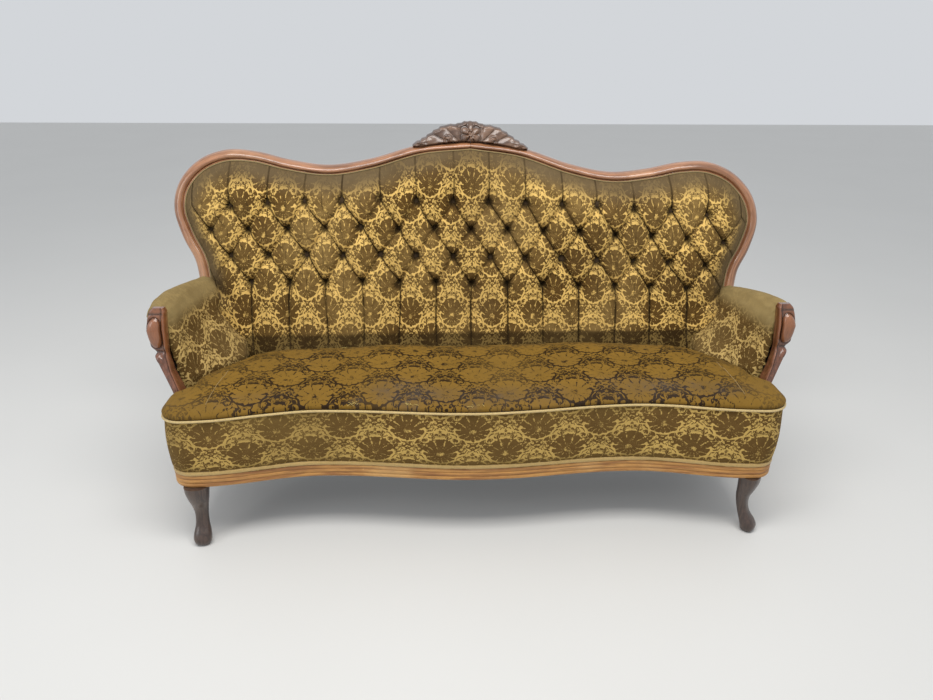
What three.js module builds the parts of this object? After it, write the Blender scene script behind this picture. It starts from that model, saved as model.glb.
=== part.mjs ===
// A three-seat sofa with a carved show frame, cabriole front legs, a buttoned back and a sprung seat.
// Millimetres, +X to the sitter's left as seen from the front (the viewer's right), +Y to the back, +Z up.
// While the pieces are laid out, y = 0 is the line through the two front feet. At the end the whole
// sofa is moved so that its origin lies under the middle of its box, on the floor.

import * as THREE from 'three';
import { mergeVertices } from 'three/addons/utils/BufferGeometryUtils.js';

// ---- driving dimensions -------------------------------------------------------------------------

const LEG_TOP = 172; // height of the legs, and of the underside of the seat rails
const RAIL_MOULDING_TOP = 207; // top of the reeded face that shows
const RAIL_TOP = 240; // top of the rails, under the border
const RAIL_THICK = 40;
const RAIL_LIP = 14; // the reeded lip hangs below the webbing by the rebate
const RAIL_REBATE = 6;
const BORDER_TOP = 370;
const SEAT_CROWN = 416;
const SEAT_LEAN = 0.008; // the seat has sunk towards -X: rise of the border's top for each unit of x
const PIPING_RADIUS = 3.4;
const GAP = 0.3; // clearance kept between touching pieces

const CENTRE_FRONT = 11; // depth of the serpentine front at its middle, its hollows and its corners
const HOLLOW_FRONT = 42;
const CORNER_FRONT = -2;
const HOLLOW_X = 410;
const CORNER_X = 738; // the rounded corners start here
const HALF_RAIL = 793; // half width over the side rails
const CORNER_DEPTH = 52;
const RAIL_JOINT = 62; // the front rail turns the corners and meets the side rails here
const BORDER_END = 100; // the border and the cord stop at the arm posts
const RAIL_BACK = 428;
const BACK_RAIL_THICK = 26;

const BACK_RAKE = 0.3; // run back for each unit of rise
const BACK_DATUM_Y = 513; // the face of the back frame passes through this point
const BACK_DATUM_Z = 547;
const RACK = Math.tan((1.3 * Math.PI) / 180); // the back has racked: lower at +X, higher at -X
const RACK_START = 400;
const RACK_FULL = 560;
const FRAME_FRONT = -7; // the back frame reaches from here, before its face, to here, behind it
const FRAME_BACK = 25;
const PAD_BACK = 7;
const PAD_PROUD = 70; // how far the buttoned pad stands before the face
const COVER_THICK = 2;

const SPRING_COLUMNS = [-575, -345, -115, 115, 345, 575];
const SPRING_ROWS = [130, 300];
const SPRING_TURNS = 4;
const WIRE_RADIUS = 2.2;
const WEBBING_WIDTH = 50;
const WEBBING_THICK = 1.3;

// ---- materials ----------------------------------------------------------------------------------

const finish = (color, roughness, metalness = 0) =>
  new THREE.MeshStandardMaterial({ color, roughness, metalness });

const POLISHED_WOOD = finish(0x8f5734, 0.3);
const RAIL_WOOD = finish(0xa87040, 0.45);
const LEG_WOOD = finish(0x54453c, 0.35);
const BEECH = finish(0xc8a77a, 0.7);
const VELVET = finish(0x84692c, 0.85);
const CORD = finish(0xd8cba0, 0.8);
const TRIM = finish(0x9c8a4c, 0.85);
const HESSIAN = finish(0xb0946a, 0.95);
const WEBBING = finish(0x8d7f62, 0.9);
const SPRING_STEEL = finish(0x8b8d8f, 0.4, 1);
const DUST_CLOTH = finish(0x2c2a29, 0.95);

// ---- making closed bodies -----------------------------------------------------------------------

const sofa = new THREE.Group();

function signedVolume(geometry) {
  const p = geometry.attributes.position;
  const [a, b, c] = [new THREE.Vector3(), new THREE.Vector3(), new THREE.Vector3()];
  let volume = 0;
  for (let i = 0; i < geometry.index.count; i += 3) {
    a.fromBufferAttribute(p, geometry.index.getX(i));
    b.fromBufferAttribute(p, geometry.index.getX(i + 1));
    c.fromBufferAttribute(p, geometry.index.getX(i + 2));
    volume += a.dot(b.cross(c)) / 6;
  }
  return volume;
}

function fromTriangles(points, triangles) {
  const geometry = new THREE.BufferGeometry();
  geometry.setAttribute('position', new THREE.Float32BufferAttribute(points.flatMap((v) => [v.x, v.y, v.z]), 3));
  geometry.setIndex(triangles.flat());
  if (signedVolume(geometry) < 0) geometry.setIndex(triangles.map(([a, b, c]) => [a, c, b]).flat());
  return geometry;
}

// Rings of equal count joined one to the next, with a flat cap on each end. `outline` is the 2-D
// shape of a ring and says how the caps are cut into triangles.
function loft(rings, outline) {
  const count = rings[0].length;
  const last = (rings.length - 1) * count;
  const triangles = [];
  for (let r = 0; r < rings.length - 1; r++) {
    for (let i = 0; i < count; i++) {
      const a = r * count + i;
      const b = r * count + ((i + 1) % count);
      triangles.push([a, b, b + count], [a, b + count, a + count]);
    }
  }
  const turn = Math.sign(THREE.ShapeUtils.area(outline));
  for (const [a, b, c] of THREE.ShapeUtils.triangulateShape([...outline], [])) {
    const corner = [outline[a], outline[b], outline[c]];
    const [i, j, k] = Math.sign(THREE.ShapeUtils.area(corner)) === turn ? [a, b, c] : [a, c, b];
    triangles.push([k, j, i], [last + i, last + j, last + k]);
  }
  return fromTriangles(rings.flat(), triangles);
}

function add(name, geometry, material) {
  const mesh = new THREE.Mesh(geometry, material.clone());
  mesh.name = name;
  sofa.add(mesh);
}

function box(x0, x1, y0, y1, z0, z1) {
  const geometry = new THREE.BoxGeometry(x1 - x0, y1 - y0, z1 - z0);
  return geometry.translate((x0 + x1) / 2, (y0 + y1) / 2, (z0 + z1) / 2);
}

function plate(outline, z0, z1) {
  const geometry = new THREE.ExtrudeGeometry(new THREE.Shape(outline), { depth: z1 - z0, bevelEnabled: false });
  return geometry.translate(0, 0, z0);
}

// Turns a +X piece into its twin at -X and keeps its faces pointing out.
function mirrored(geometry) {
  const bare = geometry.clone().deleteAttribute('uv').deleteAttribute('normal');
  const twin = mergeVertices(bare);
  twin.scale(-1, 1, 1);
  const index = twin.index.array;
  for (let i = 0; i < index.length; i += 3) [index[i], index[i + 1]] = [index[i + 1], index[i]];
  return twin;
}

function addPair(name, geometry, material) {
  add(`${name}_left`, mirrored(geometry), material);
  add(`${name}_right`, geometry, material);
}

const smooth = (t) => {
  const k = THREE.MathUtils.clamp(t, 0, 1);
  return k * k * (3 - 2 * k);
};

// Reads a value off a short list of [key, value] stations, straight between them.
function at(stations, key) {
  const next = stations.findIndex(([k]) => k >= key);
  if (next < 0) return stations[stations.length - 1][1];
  if (next === 0) return stations[0][1];
  const [[k0, v0], [k1, v1]] = [stations[next - 1], stations[next]];
  return v0 + ((v1 - v0) * (key - k0)) / (k1 - k0);
}

const superellipse = (halfX, halfY, steps, power) =>
  Array.from({ length: steps }, (_, i) => {
    const angle = (2 * Math.PI * i) / steps;
    const [c, s] = [Math.cos(angle), Math.sin(angle)];
    return new THREE.Vector2(
      halfX * Math.sign(c) * Math.abs(c) ** (2 / power),
      halfY * Math.sign(s) * Math.abs(s) ** (2 / power),
    );
  });

// ---- the plan of the seat -----------------------------------------------------------------------

function frontLine(x) {
  const reach = Math.abs(x);
  if (reach <= HOLLOW_X) {
    const wave = (1 - Math.cos((Math.PI * reach) / HOLLOW_X)) / 2;
    return CENTRE_FRONT + (HOLLOW_FRONT - CENTRE_FRONT) * wave;
  }
  const wave = (1 + Math.cos((Math.PI * (reach - HOLLOW_X)) / (CORNER_X - HOLLOW_X))) / 2;
  return CORNER_FRONT + (HOLLOW_FRONT - CORNER_FRONT) * wave;
}

// The line of the rails' outer face, from the left side round the front to the right side.
function seatEdge(sideEnd) {
  const half = [new THREE.Vector2(HALF_RAIL, sideEnd)];
  const cornerSteps = 5;
  for (let i = 0; i <= cornerSteps; i++) {
    const angle = (Math.PI / 2) * (i / cornerSteps);
    const x = CORNER_X + (HALF_RAIL - CORNER_X) * Math.cos(angle);
    half.push(new THREE.Vector2(x, CORNER_FRONT + CORNER_DEPTH * (1 - Math.sin(angle))));
  }
  const frontSteps = 11;
  for (let i = 1; i <= frontSteps; i++) {
    const x = CORNER_X * (1 - i / frontSteps);
    half.push(new THREE.Vector2(x, frontLine(x)));
  }
  const right = half.slice(0, -1).reverse();
  return [...half.map((p) => new THREE.Vector2(-p.x, p.y)), ...right];
}

// Each point of a line with the direction that leads into the seat.
function withInward(line) {
  return line.map((point, i) => {
    const before = line[Math.max(i - 1, 0)];
    const after = line[Math.min(i + 1, line.length - 1)];
    const along = after.clone().sub(before).normalize();
    return { point, inward: new THREE.Vector2(-along.y, along.x) };
  });
}

// A point of the seat, leaning as the worn seat does: not at all at the rails, fully at the border's top.
function seatPoint(x, y, z) {
  const share = Math.min(Math.max((z - RAIL_TOP - 2 * GAP) / (BORDER_TOP - RAIL_TOP), 0), 1);
  return new THREE.Vector3(x, y, z + SEAT_LEAN * x * share);
}

// Sweeps a section along the seat's edge. Section points are (distance into the seat, height).
function alongEdge(section, sideEnd) {
  const rings = withInward(seatEdge(sideEnd)).map(({ point, inward }) =>
    section.map((s) => seatPoint(point.x + inward.x * s.x, point.y + inward.y * s.x, s.y)),
  );
  return loft(rings, section);
}

const v2 = (x, y) => new THREE.Vector2(x, y);

// ---- seat rails ---------------------------------------------------------------------------------

const REED_PITCH = (RAIL_MOULDING_TOP - LEG_TOP) / 3;
const REED_DEEP = 3;

const railSection = [
  ...[0, 1, 2].flatMap((reed) => {
    const low = LEG_TOP + reed * REED_PITCH;
    return [v2(REED_DEEP, low), v2(0, low + REED_PITCH * 0.3), v2(0, low + REED_PITCH * 0.7)];
  }),
  v2(REED_DEEP, RAIL_MOULDING_TOP),
  v2(8, RAIL_MOULDING_TOP),
  v2(8, RAIL_TOP),
  v2(RAIL_THICK, RAIL_TOP),
  v2(RAIL_THICK, LEG_TOP + RAIL_REBATE),
  v2(RAIL_LIP, LEG_TOP + RAIL_REBATE),
  v2(RAIL_LIP, LEG_TOP),
];

function seatRails() {
  add('seat_rail_front', alongEdge(railSection, RAIL_JOINT), RAIL_WOOD);

  const sideStart = RAIL_JOINT + GAP;
  const sideRings = [sideStart, RAIL_BACK].map((y) =>
    railSection.map((s) => new THREE.Vector3(HALF_RAIL - s.x, y, s.y)),
  );
  addPair('seat_rail', loft(sideRings, railSection), RAIL_WOOD);

  const backHalf = HALF_RAIL - RAIL_THICK - GAP;
  const backBottom = LEG_TOP + RAIL_REBATE;
  add('seat_rail_back', box(-backHalf, backHalf, RAIL_BACK - BACK_RAIL_THICK, RAIL_BACK, backBottom, RAIL_TOP), BEECH);

  const crossX = 230;
  const crossHalf = 14;
  const crossFront = frontLine(crossX) + RAIL_THICK + 3;
  const cross = box(
    crossX - crossHalf, crossX + crossHalf, crossFront, RAIL_BACK - BACK_RAIL_THICK - GAP, backBottom + 2, RAIL_TOP - 20,
  );
  addPair('seat_cross_rail', cross, BEECH);
}

function cornerBlocks() {
  const inner = HALF_RAIL - RAIL_THICK - GAP;
  const size = 76;
  const bottom = LEG_TOP + RAIL_REBATE + GAP;
  const frontBlock = [
    v2(inner, CORNER_DEPTH + 10), v2(inner, CORNER_DEPTH + size), v2(CORNER_X - 76, 48), v2(CORNER_X - 10, 44),
  ];
  addPair('corner_block_front', plate(frontBlock, bottom, RAIL_TOP - 6), BEECH);
  const rear = RAIL_BACK - BACK_RAIL_THICK - GAP;
  const rearBlock = [v2(inner, rear), v2(inner - size, rear), v2(inner, rear - size)];
  addPair('corner_block_rear', plate(rearBlock, bottom, RAIL_TOP - 6), BEECH);
}

// ---- legs ---------------------------------------------------------------------------------------

// Stations of the cabriole leg: height, push towards the toe, half width.
const CABRIOLE = [
  { z: 0, push: 19, half: 15 },
  { z: 5, push: 20, half: 20 },
  { z: 17, push: 20, half: 23 },
  { z: 32, push: 14, half: 22 },
  { z: 52, push: 2, half: 17.5 },
  { z: 78, push: -6, half: 17 },
  { z: 102, push: -7, half: 20 },
  { z: 130, push: -2, half: 26 },
  { z: 154, push: 1, half: 30 },
  { z: LEG_TOP - GAP, push: 1, half: 31 },
];

function cabriole(x, y, toeAngle) {
  const toe = v2(Math.sin(toeAngle), -Math.cos(toeAngle));
  const steps = 14;
  const rings = CABRIOLE.map(({ z, push, half }) =>
    superellipse(half * 0.87, half, steps, 2.5).map((p) => {
      const [along, across] = [push + p.x, p.y];
      return new THREE.Vector3(x + toe.x * along - toe.y * across, y + toe.y * along + toe.x * across, z);
    }),
  );
  return loft(rings, superellipse(1, 1, steps, 2.5));
}

function legs() {
  const legX = 734;
  const legY = 27;
  const radians = Math.PI / 180;
  add('leg_front_left', cabriole(-legX + 1, legY - 14, 4 * radians), LEG_WOOD);
  add('leg_front_right', cabriole(legX, legY - 6, 46 * radians), LEG_WOOD);

  const rearTop = { x: 750, y: RAIL_BACK - 24, half: 21 };
  const rearFoot = { x: 746, y: RAIL_BACK + 58, half: 14 };
  const rearRings = [[rearFoot, 0], [rearTop, LEG_TOP - GAP]].map(([end, z]) =>
    superellipse(end.half, end.half, 12, 6).map((p) => new THREE.Vector3(end.x + p.x, end.y + p.y, z)),
  );
  addPair('leg_rear', loft(rearRings, superellipse(1, 1, 12, 6)), LEG_WOOD);
}

// ---- the back -----------------------------------------------------------------------------------

const backFace = (z) => BACK_DATUM_Y + BACK_RAKE * (z - BACK_DATUM_Z);

// Lets a point of the back follow the racked frame: it slides along the raked face of the back.
function rack(v) {
  const slide = v.x * RACK * smooth((v.z - RACK_START) / (RACK_FULL - RACK_START));
  v.z -= slide;
  v.y -= slide * BACK_RAKE;
  return v;
}

const backPoint = (x, z, off) => rack(new THREE.Vector3(x, backFace(z) + off, z));

// The middle line of the show frame's face and its width, from the crest's middle to its foot.
const FRAME_LINE = new THREE.CatmullRomCurve3(
  [
    [0, 941], [150, 925], [300, 882], [424, 862], [542, 874], [640, 894], [725, 895], [800, 865],
    [852, 808], [867, 745], [845, 668], [814, 606], [803, 550], [798, 490], [786, 420],
  ].map(([x, z]) => new THREE.Vector3(x, 0, z)),
  false,
  'centripetal',
);
const FRAME_WIDTH = [[0, 20], [0.12, 23], [0.3, 25], [0.5, 26], [0.68, 34], [0.8, 38], [0.9, 38], [1, 34]];
const frameWidth = (t) => at(FRAME_WIDTH, t);

function frameStation(t) {
  const middle = FRAME_LINE.getPointAt(t);
  const along = FRAME_LINE.getTangentAt(t);
  return { middle, outward: new THREE.Vector3(-along.z, 0, along.x), half: frameWidth(t) / 2 };
}

// A point at the frame's outer edge (side 1) or inner edge (side -1), moved away from it by `clear`.
function frameEdge(t, side, clear) {
  const { middle, outward, half } = frameStation(t);
  const reach = side * (half + clear);
  return v2(middle.x + outward.x * reach, middle.z + outward.z * reach);
}

function backRails() {
  const bead = [
    v2(1, 4), v2(0.8, -3), v2(0.35, FRAME_FRONT), v2(-0.35, FRAME_FRONT), v2(-0.85, -2), v2(-1, 5),
    v2(-0.9, FRAME_BACK), v2(0.8, FRAME_BACK),
  ];
  const steps = 26;
  const mitre = 0.4;
  for (const side of [-1, 1]) {
    const rings = Array.from({ length: steps + 1 }, (_, i) => {
      const { middle, outward, half } = frameStation(i / steps);
      return bead.map((b) => {
        const x = Math.max(middle.x + outward.x * half * b.x, mitre);
        return backPoint(side * x, middle.z + outward.z * half * b.x, b.y);
      });
    });
    add(side < 0 ? 'back_rail_left' : 'back_rail_right', loft(rings, bead), POLISHED_WOOD);
  }
}

function backStiles() {
  const foot = { x: 757, z: RAIL_TOP + GAP, half: 15 };
  const head = { x: 785.5, z: 417, half: 17 };
  const section = [v2(1, 0), v2(-1, 0), v2(-1, FRAME_BACK), v2(1, FRAME_BACK)];
  for (const side of [-1, 1]) {
    const rings = [foot, head].map(({ x, z, half }) => section.map((s) => backPoint(side * (x + half * s.x), z, s.y)));
    add(side < 0 ? 'back_stile_left' : 'back_stile_right', loft(rings, section), BEECH);
  }
}

function backInnerFrame() {
  const timberFront = PAD_BACK + GAP;
  const timberBack = FRAME_BACK - GAP;
  const lowerHalf = 738;
  const lower = { bottom: 262, top: 318 };
  const section = [
    v2(lower.bottom, timberFront), v2(lower.bottom, timberBack), v2(lower.top, timberBack), v2(lower.top, timberFront),
  ];
  const lowerRings = [-lowerHalf, lowerHalf].map((x) => section.map((s) => backPoint(x, s.x, s.y)));
  add('back_lower_rail', loft(lowerRings, section), BEECH);

  const uprightTop = frameEdge(0, -1, 3).y;
  const half = 24;
  const uprightSection = [v2(-half, timberFront), v2(half, timberFront), v2(half, timberBack), v2(-half, timberBack)];
  const uprightRings = [lower.top + GAP, RACK_START, RACK_FULL, uprightTop].map((z) =>
    uprightSection.map((s) => backPoint(s.x, z, s.y)),
  );
  add('back_centre_upright', loft(uprightRings, uprightSection), BEECH);
}

// The edge of the pad: up one side from its lower corner, over the top, down the other.
const PAD_FOOT = [[600, 352], [636, 366], [656, 402], [714, 458], [738, 488], [748, 515], [758, 540]];

function padOutline() {
  const rimSteps = 22;
  const half = PAD_FOOT.map(([x, z]) => v2(x, z));
  for (let i = 0; i <= rimSteps; i++) half.push(frameEdge(0.9 * (1 - i / rimSteps), -1, 2.5));
  const left = half.slice(0, -1).reverse().map((p) => v2(-p.x, p.y));
  return [...half, ...left];
}

function backPad() {
  const outline = padOutline();
  const spine = (p) => v2(p.x * 0.8, 610 + (p.y - 610) * 0.12);
  // How far in from the edge each ring lies, and how much of the pad's fullness it has.
  const rings = [
    { inset: 0, full: null },
    { inset: 0, full: 0 },
    { inset: 0.05, full: 0.45 },
    { inset: 0.16, full: 0.8 },
    { inset: 0.45, full: 1 },
    { inset: 0.95, full: 1 },
  ];
  const bottomFull = (z) => 1 - smooth((z - 490) / 70); // full where the arms butt against it
  const bodies = rings.map(({ inset, full }) =>
    outline.map((p) => {
      const middle = spine(p);
      const x = THREE.MathUtils.lerp(p.x, middle.x, inset);
      const z = THREE.MathUtils.lerp(p.y, middle.y, inset);
      if (full === null) return backPoint(x, z, PAD_BACK);
      const fullness = Math.max(full, bottomFull(z));
      return backPoint(x, z, -PAD_PROUD * fullness);
    }),
  );
  add('back_pad', loft(bodies, outline), VELVET);
}

function backCover() {
  const steps = 20;
  const half = [v2(738, RAIL_TOP - 30), v2(742, RAIL_TOP + 20), v2(768, 400)];
  for (let i = 0; i <= steps; i++) half.push(frameEdge(0.96 * (1 - i / steps), 1, -5));
  const outline = [...half, ...half.slice(0, -1).reverse().map((p) => v2(-p.x, p.y))];
  const inside = FRAME_BACK + GAP;
  const rings = [inside, inside + COVER_THICK].map((off) => outline.map((p) => backPoint(p.x, p.y, off)));
  add('back_outside_cover', loft(rings, outline), VELVET);
}

// The carved crest: an arched block that stands on the rail, over the mitre.
function crestCarving() {
  const outline = [
    v2(-172, 938), v2(-90, 948), v2(0, 954), v2(90, 948), v2(172, 938), v2(150, 953), v2(124, 971), v2(92, 991),
    v2(58, 1000), v2(34, 1001), v2(20, 1007), v2(-20, 1007), v2(-34, 1001), v2(-58, 1000), v2(-92, 991),
    v2(-124, 971), v2(-150, 953),
  ];
  const front = -14;
  const back = 16;
  const rings = [front, back].map((off) => outline.map((p) => backPoint(p.x, p.y, off)));
  add('crest_carving', loft(rings, outline), POLISHED_WOOD);
}

// ---- the arms -----------------------------------------------------------------------------------

// The carved arm post, from the side rail up to the scroll: inner and outer side, and front face.
const ARM_POST = [
  { z: RAIL_TOP + GAP, inner: 742, outer: 771, front: 103, deep: 34 },
  { z: 300, inner: 747, outer: 776, front: 106, deep: 36 },
  { z: 345, inner: 759, outer: 785, front: 113, deep: 38 },
  { z: 392, inner: 779, outer: 802, front: 124, deep: 38 },
  { z: 431, inner: 797, outer: 823, front: 142, deep: 30 },
  { z: 470, inner: 806, outer: 843, front: 157, deep: 22 },
  { z: 480, inner: 807, outer: 836, front: 162, deep: 18 },
  { z: 496, inner: 806, outer: 849, front: 160, deep: 22 },
  { z: 543, inner: 804, outer: 855, front: 162, deep: 26 },
  { z: 574, inner: 801, outer: 848, front: 166, deep: 24 },
  { z: 590, inner: 799, outer: 842, front: 168, deep: 22 },
  { z: 600, inner: 803, outer: 832, front: 171, deep: 18 },
];

function armPosts() {
  const rings = ARM_POST.map(({ z, inner, outer, front, deep }) => {
    const edge = 5;
    return [
      [inner + edge, front], [outer - edge, front], [outer, front + edge], [outer, front + deep],
      [inner, front + deep], [inner, front + edge],
    ].map(([x, y]) => new THREE.Vector3(x, y, z));
  });
  const outline = rings[0].map((p) => v2(p.x, p.y));
  addPair('arm_post', loft(rings, outline), POLISHED_WOOD);
}

// Stations of the arm from post to back. The arm's end slopes, so each station has its own depth at
// seat level (yLow) and at the top (yHigh). `rack` is how far the arm rises at -X and sinks at +X there,
// because the racked back has pulled its rear end.
const ARM = [
  { yLow: 170, yHigh: 194, xLow: 764, xMid: 788, xTop: 822, xOut: 856, zTop: 600, rack: 3 },
  { yLow: 200, yHigh: 250, xLow: 750, xMid: 779, xTop: 820, xOut: 861, zTop: 601, rack: 8 },
  { yLow: 240, yHigh: 320, xLow: 720, xMid: 766, xTop: 814, xOut: 858, zTop: 596, rack: 11 },
  { yLow: 280, yHigh: 390, xLow: 690, xMid: 752, xTop: 804, xOut: 848, zTop: 584, rack: 14 },
  { yLow: 312, yHigh: 436, xLow: 668, xMid: 744, xTop: 792, xOut: 836, zTop: 574, rack: 16 },
  { yLow: 328, yHigh: 462, xLow: 655, xMid: 744, xTop: 783, xOut: 826, zTop: 568, rack: 18 },
  { yLow: 440, yHigh: 495, xLow: 668, xMid: 768, xTop: 800, xOut: 832, zTop: 562, rack: 18 },
];
const ARM_LOW = 358;
const ARM_PAD_THICK = 34;
const ARM_RAIL_HALF = 13;
const ARM_RAIL_DROP = 53; // the arm rail's middle lies this far under the arm's top

const armY = (station, z) => {
  const rise = THREE.MathUtils.clamp((z - 400) / 150, 0, 1);
  return THREE.MathUtils.lerp(station.yLow, station.yHigh, rise);
};

// The middle of the hidden arm rail at a station.
const armRailX = (station) => station.xOut - 30;

// Lofts a section along one arm. A section gives [x, z, how much of the arm's racking it takes], and
// `depth` says how far back a station lies at a height.
function alongArm(side, section, depth) {
  const outline = section(ARM[0]).map(([x, z]) => v2(x, z));
  const rings = ARM.map((station) =>
    section(station).map(([x, z, share]) => new THREE.Vector3(side * x, depth(station, z), z - side * station.rack * share)),
  );
  return loft(rings, outline);
}

function addArms(name, section, material, depth = armY) {
  add(`${name}_left`, alongArm(-1, section, depth), material);
  add(`${name}_right`, alongArm(1, section, depth), material);
}

function armPads() {
  const clear = ARM_RAIL_HALF + GAP + 1;
  addArms('arm_pad', (s) => {
    const railX = armRailX(s);
    const railZ = s.zTop - ARM_RAIL_DROP;
    return [
      [s.xLow, ARM_LOW, 0], [s.xLow + 4, 400, 0], [s.xMid, 488, 0.5], [s.xMid + 14, s.zTop - 44, 1],
      [s.xTop - 10, s.zTop - 6, 1], [s.xTop + 6, s.zTop, 1], [s.xOut - 8, s.zTop - 12, 1], [s.xOut, s.zTop - 34, 1],
      [s.xOut - 6, railZ + 6, 1], [railX + clear, railZ + 6, 1], [railX + clear, railZ + clear, 1],
      [railX - clear, railZ + clear, 1], [railX - clear, railZ - 20, 1], [s.xMid + ARM_PAD_THICK - 8, 488, 0.5],
      [s.xLow + ARM_PAD_THICK, 400, 0], [s.xLow + ARM_PAD_THICK - 4, ARM_LOW, 0],
    ];
  }, VELVET);
}

function armRails() {
  const corners = [[-1, -1], [1, -1], [1, 1], [-1, 1]];
  addArms('arm_rail', (s) =>
    corners.map(([right, up]) => [
      armRailX(s) + ARM_RAIL_HALF * right, s.zTop - ARM_RAIL_DROP + ARM_RAIL_HALF * up, 1,
    ]), BEECH);
}

// The outside of the arm: a stretched cover from under the roll down to the side rail, and from the
// back of the arm post to the back frame. Below the show frame's foot it runs on past the stile.
// At the post it keeps inside the post's outer edge, which draws in below the boss.
const OUTSIDE_FRONT = [[213, 140], [310, 145], [392, 165], [470, 183], [540, 193]];
const STILE_SIDE_TOP = 400;

function outsideDepth(station, z) {
  const front = at(OUTSIDE_FRONT, z);
  const past = z <= STILE_SIDE_TOP ? FRAME_BACK - 3 : FRAME_FRONT - 4;
  const rear = backFace(z) + past;
  return THREE.MathUtils.lerp(front, rear, ARM.indexOf(station) / (ARM.length - 1));
}

function armOutsides() {
  const low = HALF_RAIL - 7;
  const section = (s) => {
    const top = s.zTop - ARM_RAIL_DROP - 8;
    const railX = at(ARM.map((a) => [a.yHigh, armRailX(a)]), outsideDepth(s, top));
    const high = railX + ARM_RAIL_HALF + 2 + COVER_THICK / 2;
    // height, how far the cover has drawn in at the post and at the back, and its share of the racking
    const levels = [
      [top, 0, 0, 1], [470, 0.06, 0.06, 0.5], [432, 0.45, 0.08, 0], [STILE_SIDE_TOP, 0.68, 0.16, 0],
      [358, 0.82, 0.41, 0], [310, 0.93, 0.7, 0], [RAIL_MOULDING_TOP + 6, 1, 1, 0],
    ];
    const toBack = ARM.indexOf(s) / (ARM.length - 1);
    const line = levels.map(([z, post, back, share]) => {
      const drop = THREE.MathUtils.lerp(post, back, toBack);
      return [THREE.MathUtils.lerp(high, low, drop), z, share];
    });
    const outer = line.map(([x, z, share]) => [x + COVER_THICK / 2, z, share]);
    const inner = line.map(([x, z, share]) => [x - COVER_THICK / 2, z, share]).reverse();
    return [...outer, ...inner];
  };
  addArms('arm_outside', section, VELVET, outsideDepth);
}

// ---- seat upholstery ----------------------------------------------------------------------------

function seatBorder() {
  const section = [
    v2(3, RAIL_MOULDING_TOP + 1), v2(3, 219), v2(0, 223), v2(-3, 262), v2(-5, 310), v2(-5, 350), v2(-3, BORDER_TOP),
    v2(30, BORDER_TOP), v2(34, RAIL_TOP + GAP), v2(8 - GAP, RAIL_TOP + GAP), v2(8 - GAP, RAIL_MOULDING_TOP + 1),
  ];
  add('seat_border', alongEdge(section, BORDER_END), VELVET);

  const band = [v2(3 - GAP, 208), v2(-0.5, 208), v2(-1, 213), v2(-0.5, 218.5), v2(3 - GAP, 218.5)];
  add('trim_band', alongEdge(band, BORDER_END), TRIM);

  const round = superellipse(PIPING_RADIUS, PIPING_RADIUS, 6, 2);
  const piping = round.map((p) => v2(p.x - 3.2, p.y + BORDER_TOP + PIPING_RADIUS + 0.8));
  add('seat_piping', alongEdge(piping, BORDER_END), CORD);
}

// The seat's plan behind the posts, along the arms and the back, as seen at seat level.
const SEAT_REAR = [
  [762, 101], [752, 108], [750, 168], [746, 190], [711, 240], [676, 286], [640, 332], [590, 366], [500, 380], [250, 388],
];
const SEAT_REAR_MIDDLE = 390;

function seatPad() {
  const line = withInward(seatEdge(BORDER_END));
  const rim = (inset) => line.map(({ point, inward }) => v2(point.x + inward.x * inset, point.y + inward.y * inset));
  const rear = [
    ...SEAT_REAR.map(([x, y]) => v2(x, y)),
    v2(0, SEAT_REAR_MIDDLE),
    ...[...SEAT_REAR].reverse().map(([x, y]) => v2(-x, y)),
  ];
  const outline = [...rim(1), ...rear];
  const middle = (p) => v2(p.x * 0.72, 225);
  const pull = (points, inset) => points.map((p) => p.clone().lerp(middle(p), inset));
  const levels = [
    { points: pull([...rim(1), ...rear], 0), z: BORDER_TOP + GAP + 0.1 },
    { points: [...rim(1), ...rear], z: 378.5 },
    { points: [...rim(-3), ...rear], z: 381 },
    { points: [...rim(-3.5), ...rear], z: 388 },
    { points: pull([...rim(2), ...rear], 0.02), z: 396 },
    { points: pull([...rim(4), ...rear], 0.16), z: 405 },
    { points: pull([...rim(4), ...rear], 0.42), z: 413 },
    { points: pull([...rim(4), ...rear], 0.9), z: SEAT_CROWN },
  ];
  const rings = levels.map(({ points, z }) => points.map((p) => seatPoint(p.x, p.y, z)));
  add('seat_pad', loft(rings, outline), VELVET);
}

// The cloth over the springs, inside the border.
function springHessian() {
  const front = withInward(seatEdge(BORDER_END)).map(({ point, inward }) =>
    v2(point.x + inward.x * 35, point.y + inward.y * 35),
  );
  const rear = [[738, 170], [700, 240], [630, 330], [500, 372]];
  const outline = [
    ...front, ...rear.map(([x, y]) => v2(x, y)), ...[...rear].reverse().map(([x, y]) => v2(-x, y)),
  ];
  const rings = [BORDER_TOP - 2, BORDER_TOP].map((z) => outline.map((p) => seatPoint(p.x, p.y, z)));
  add('spring_hessian', loft(rings, outline), HESSIAN);
}

// ---- springs and webbing ------------------------------------------------------------------------

const CROSS_WEB_TOP = LEG_TOP + RAIL_REBATE - GAP;
const LONG_WEB_TOP = CROSS_WEB_TOP - WEBBING_THICK - GAP;

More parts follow.
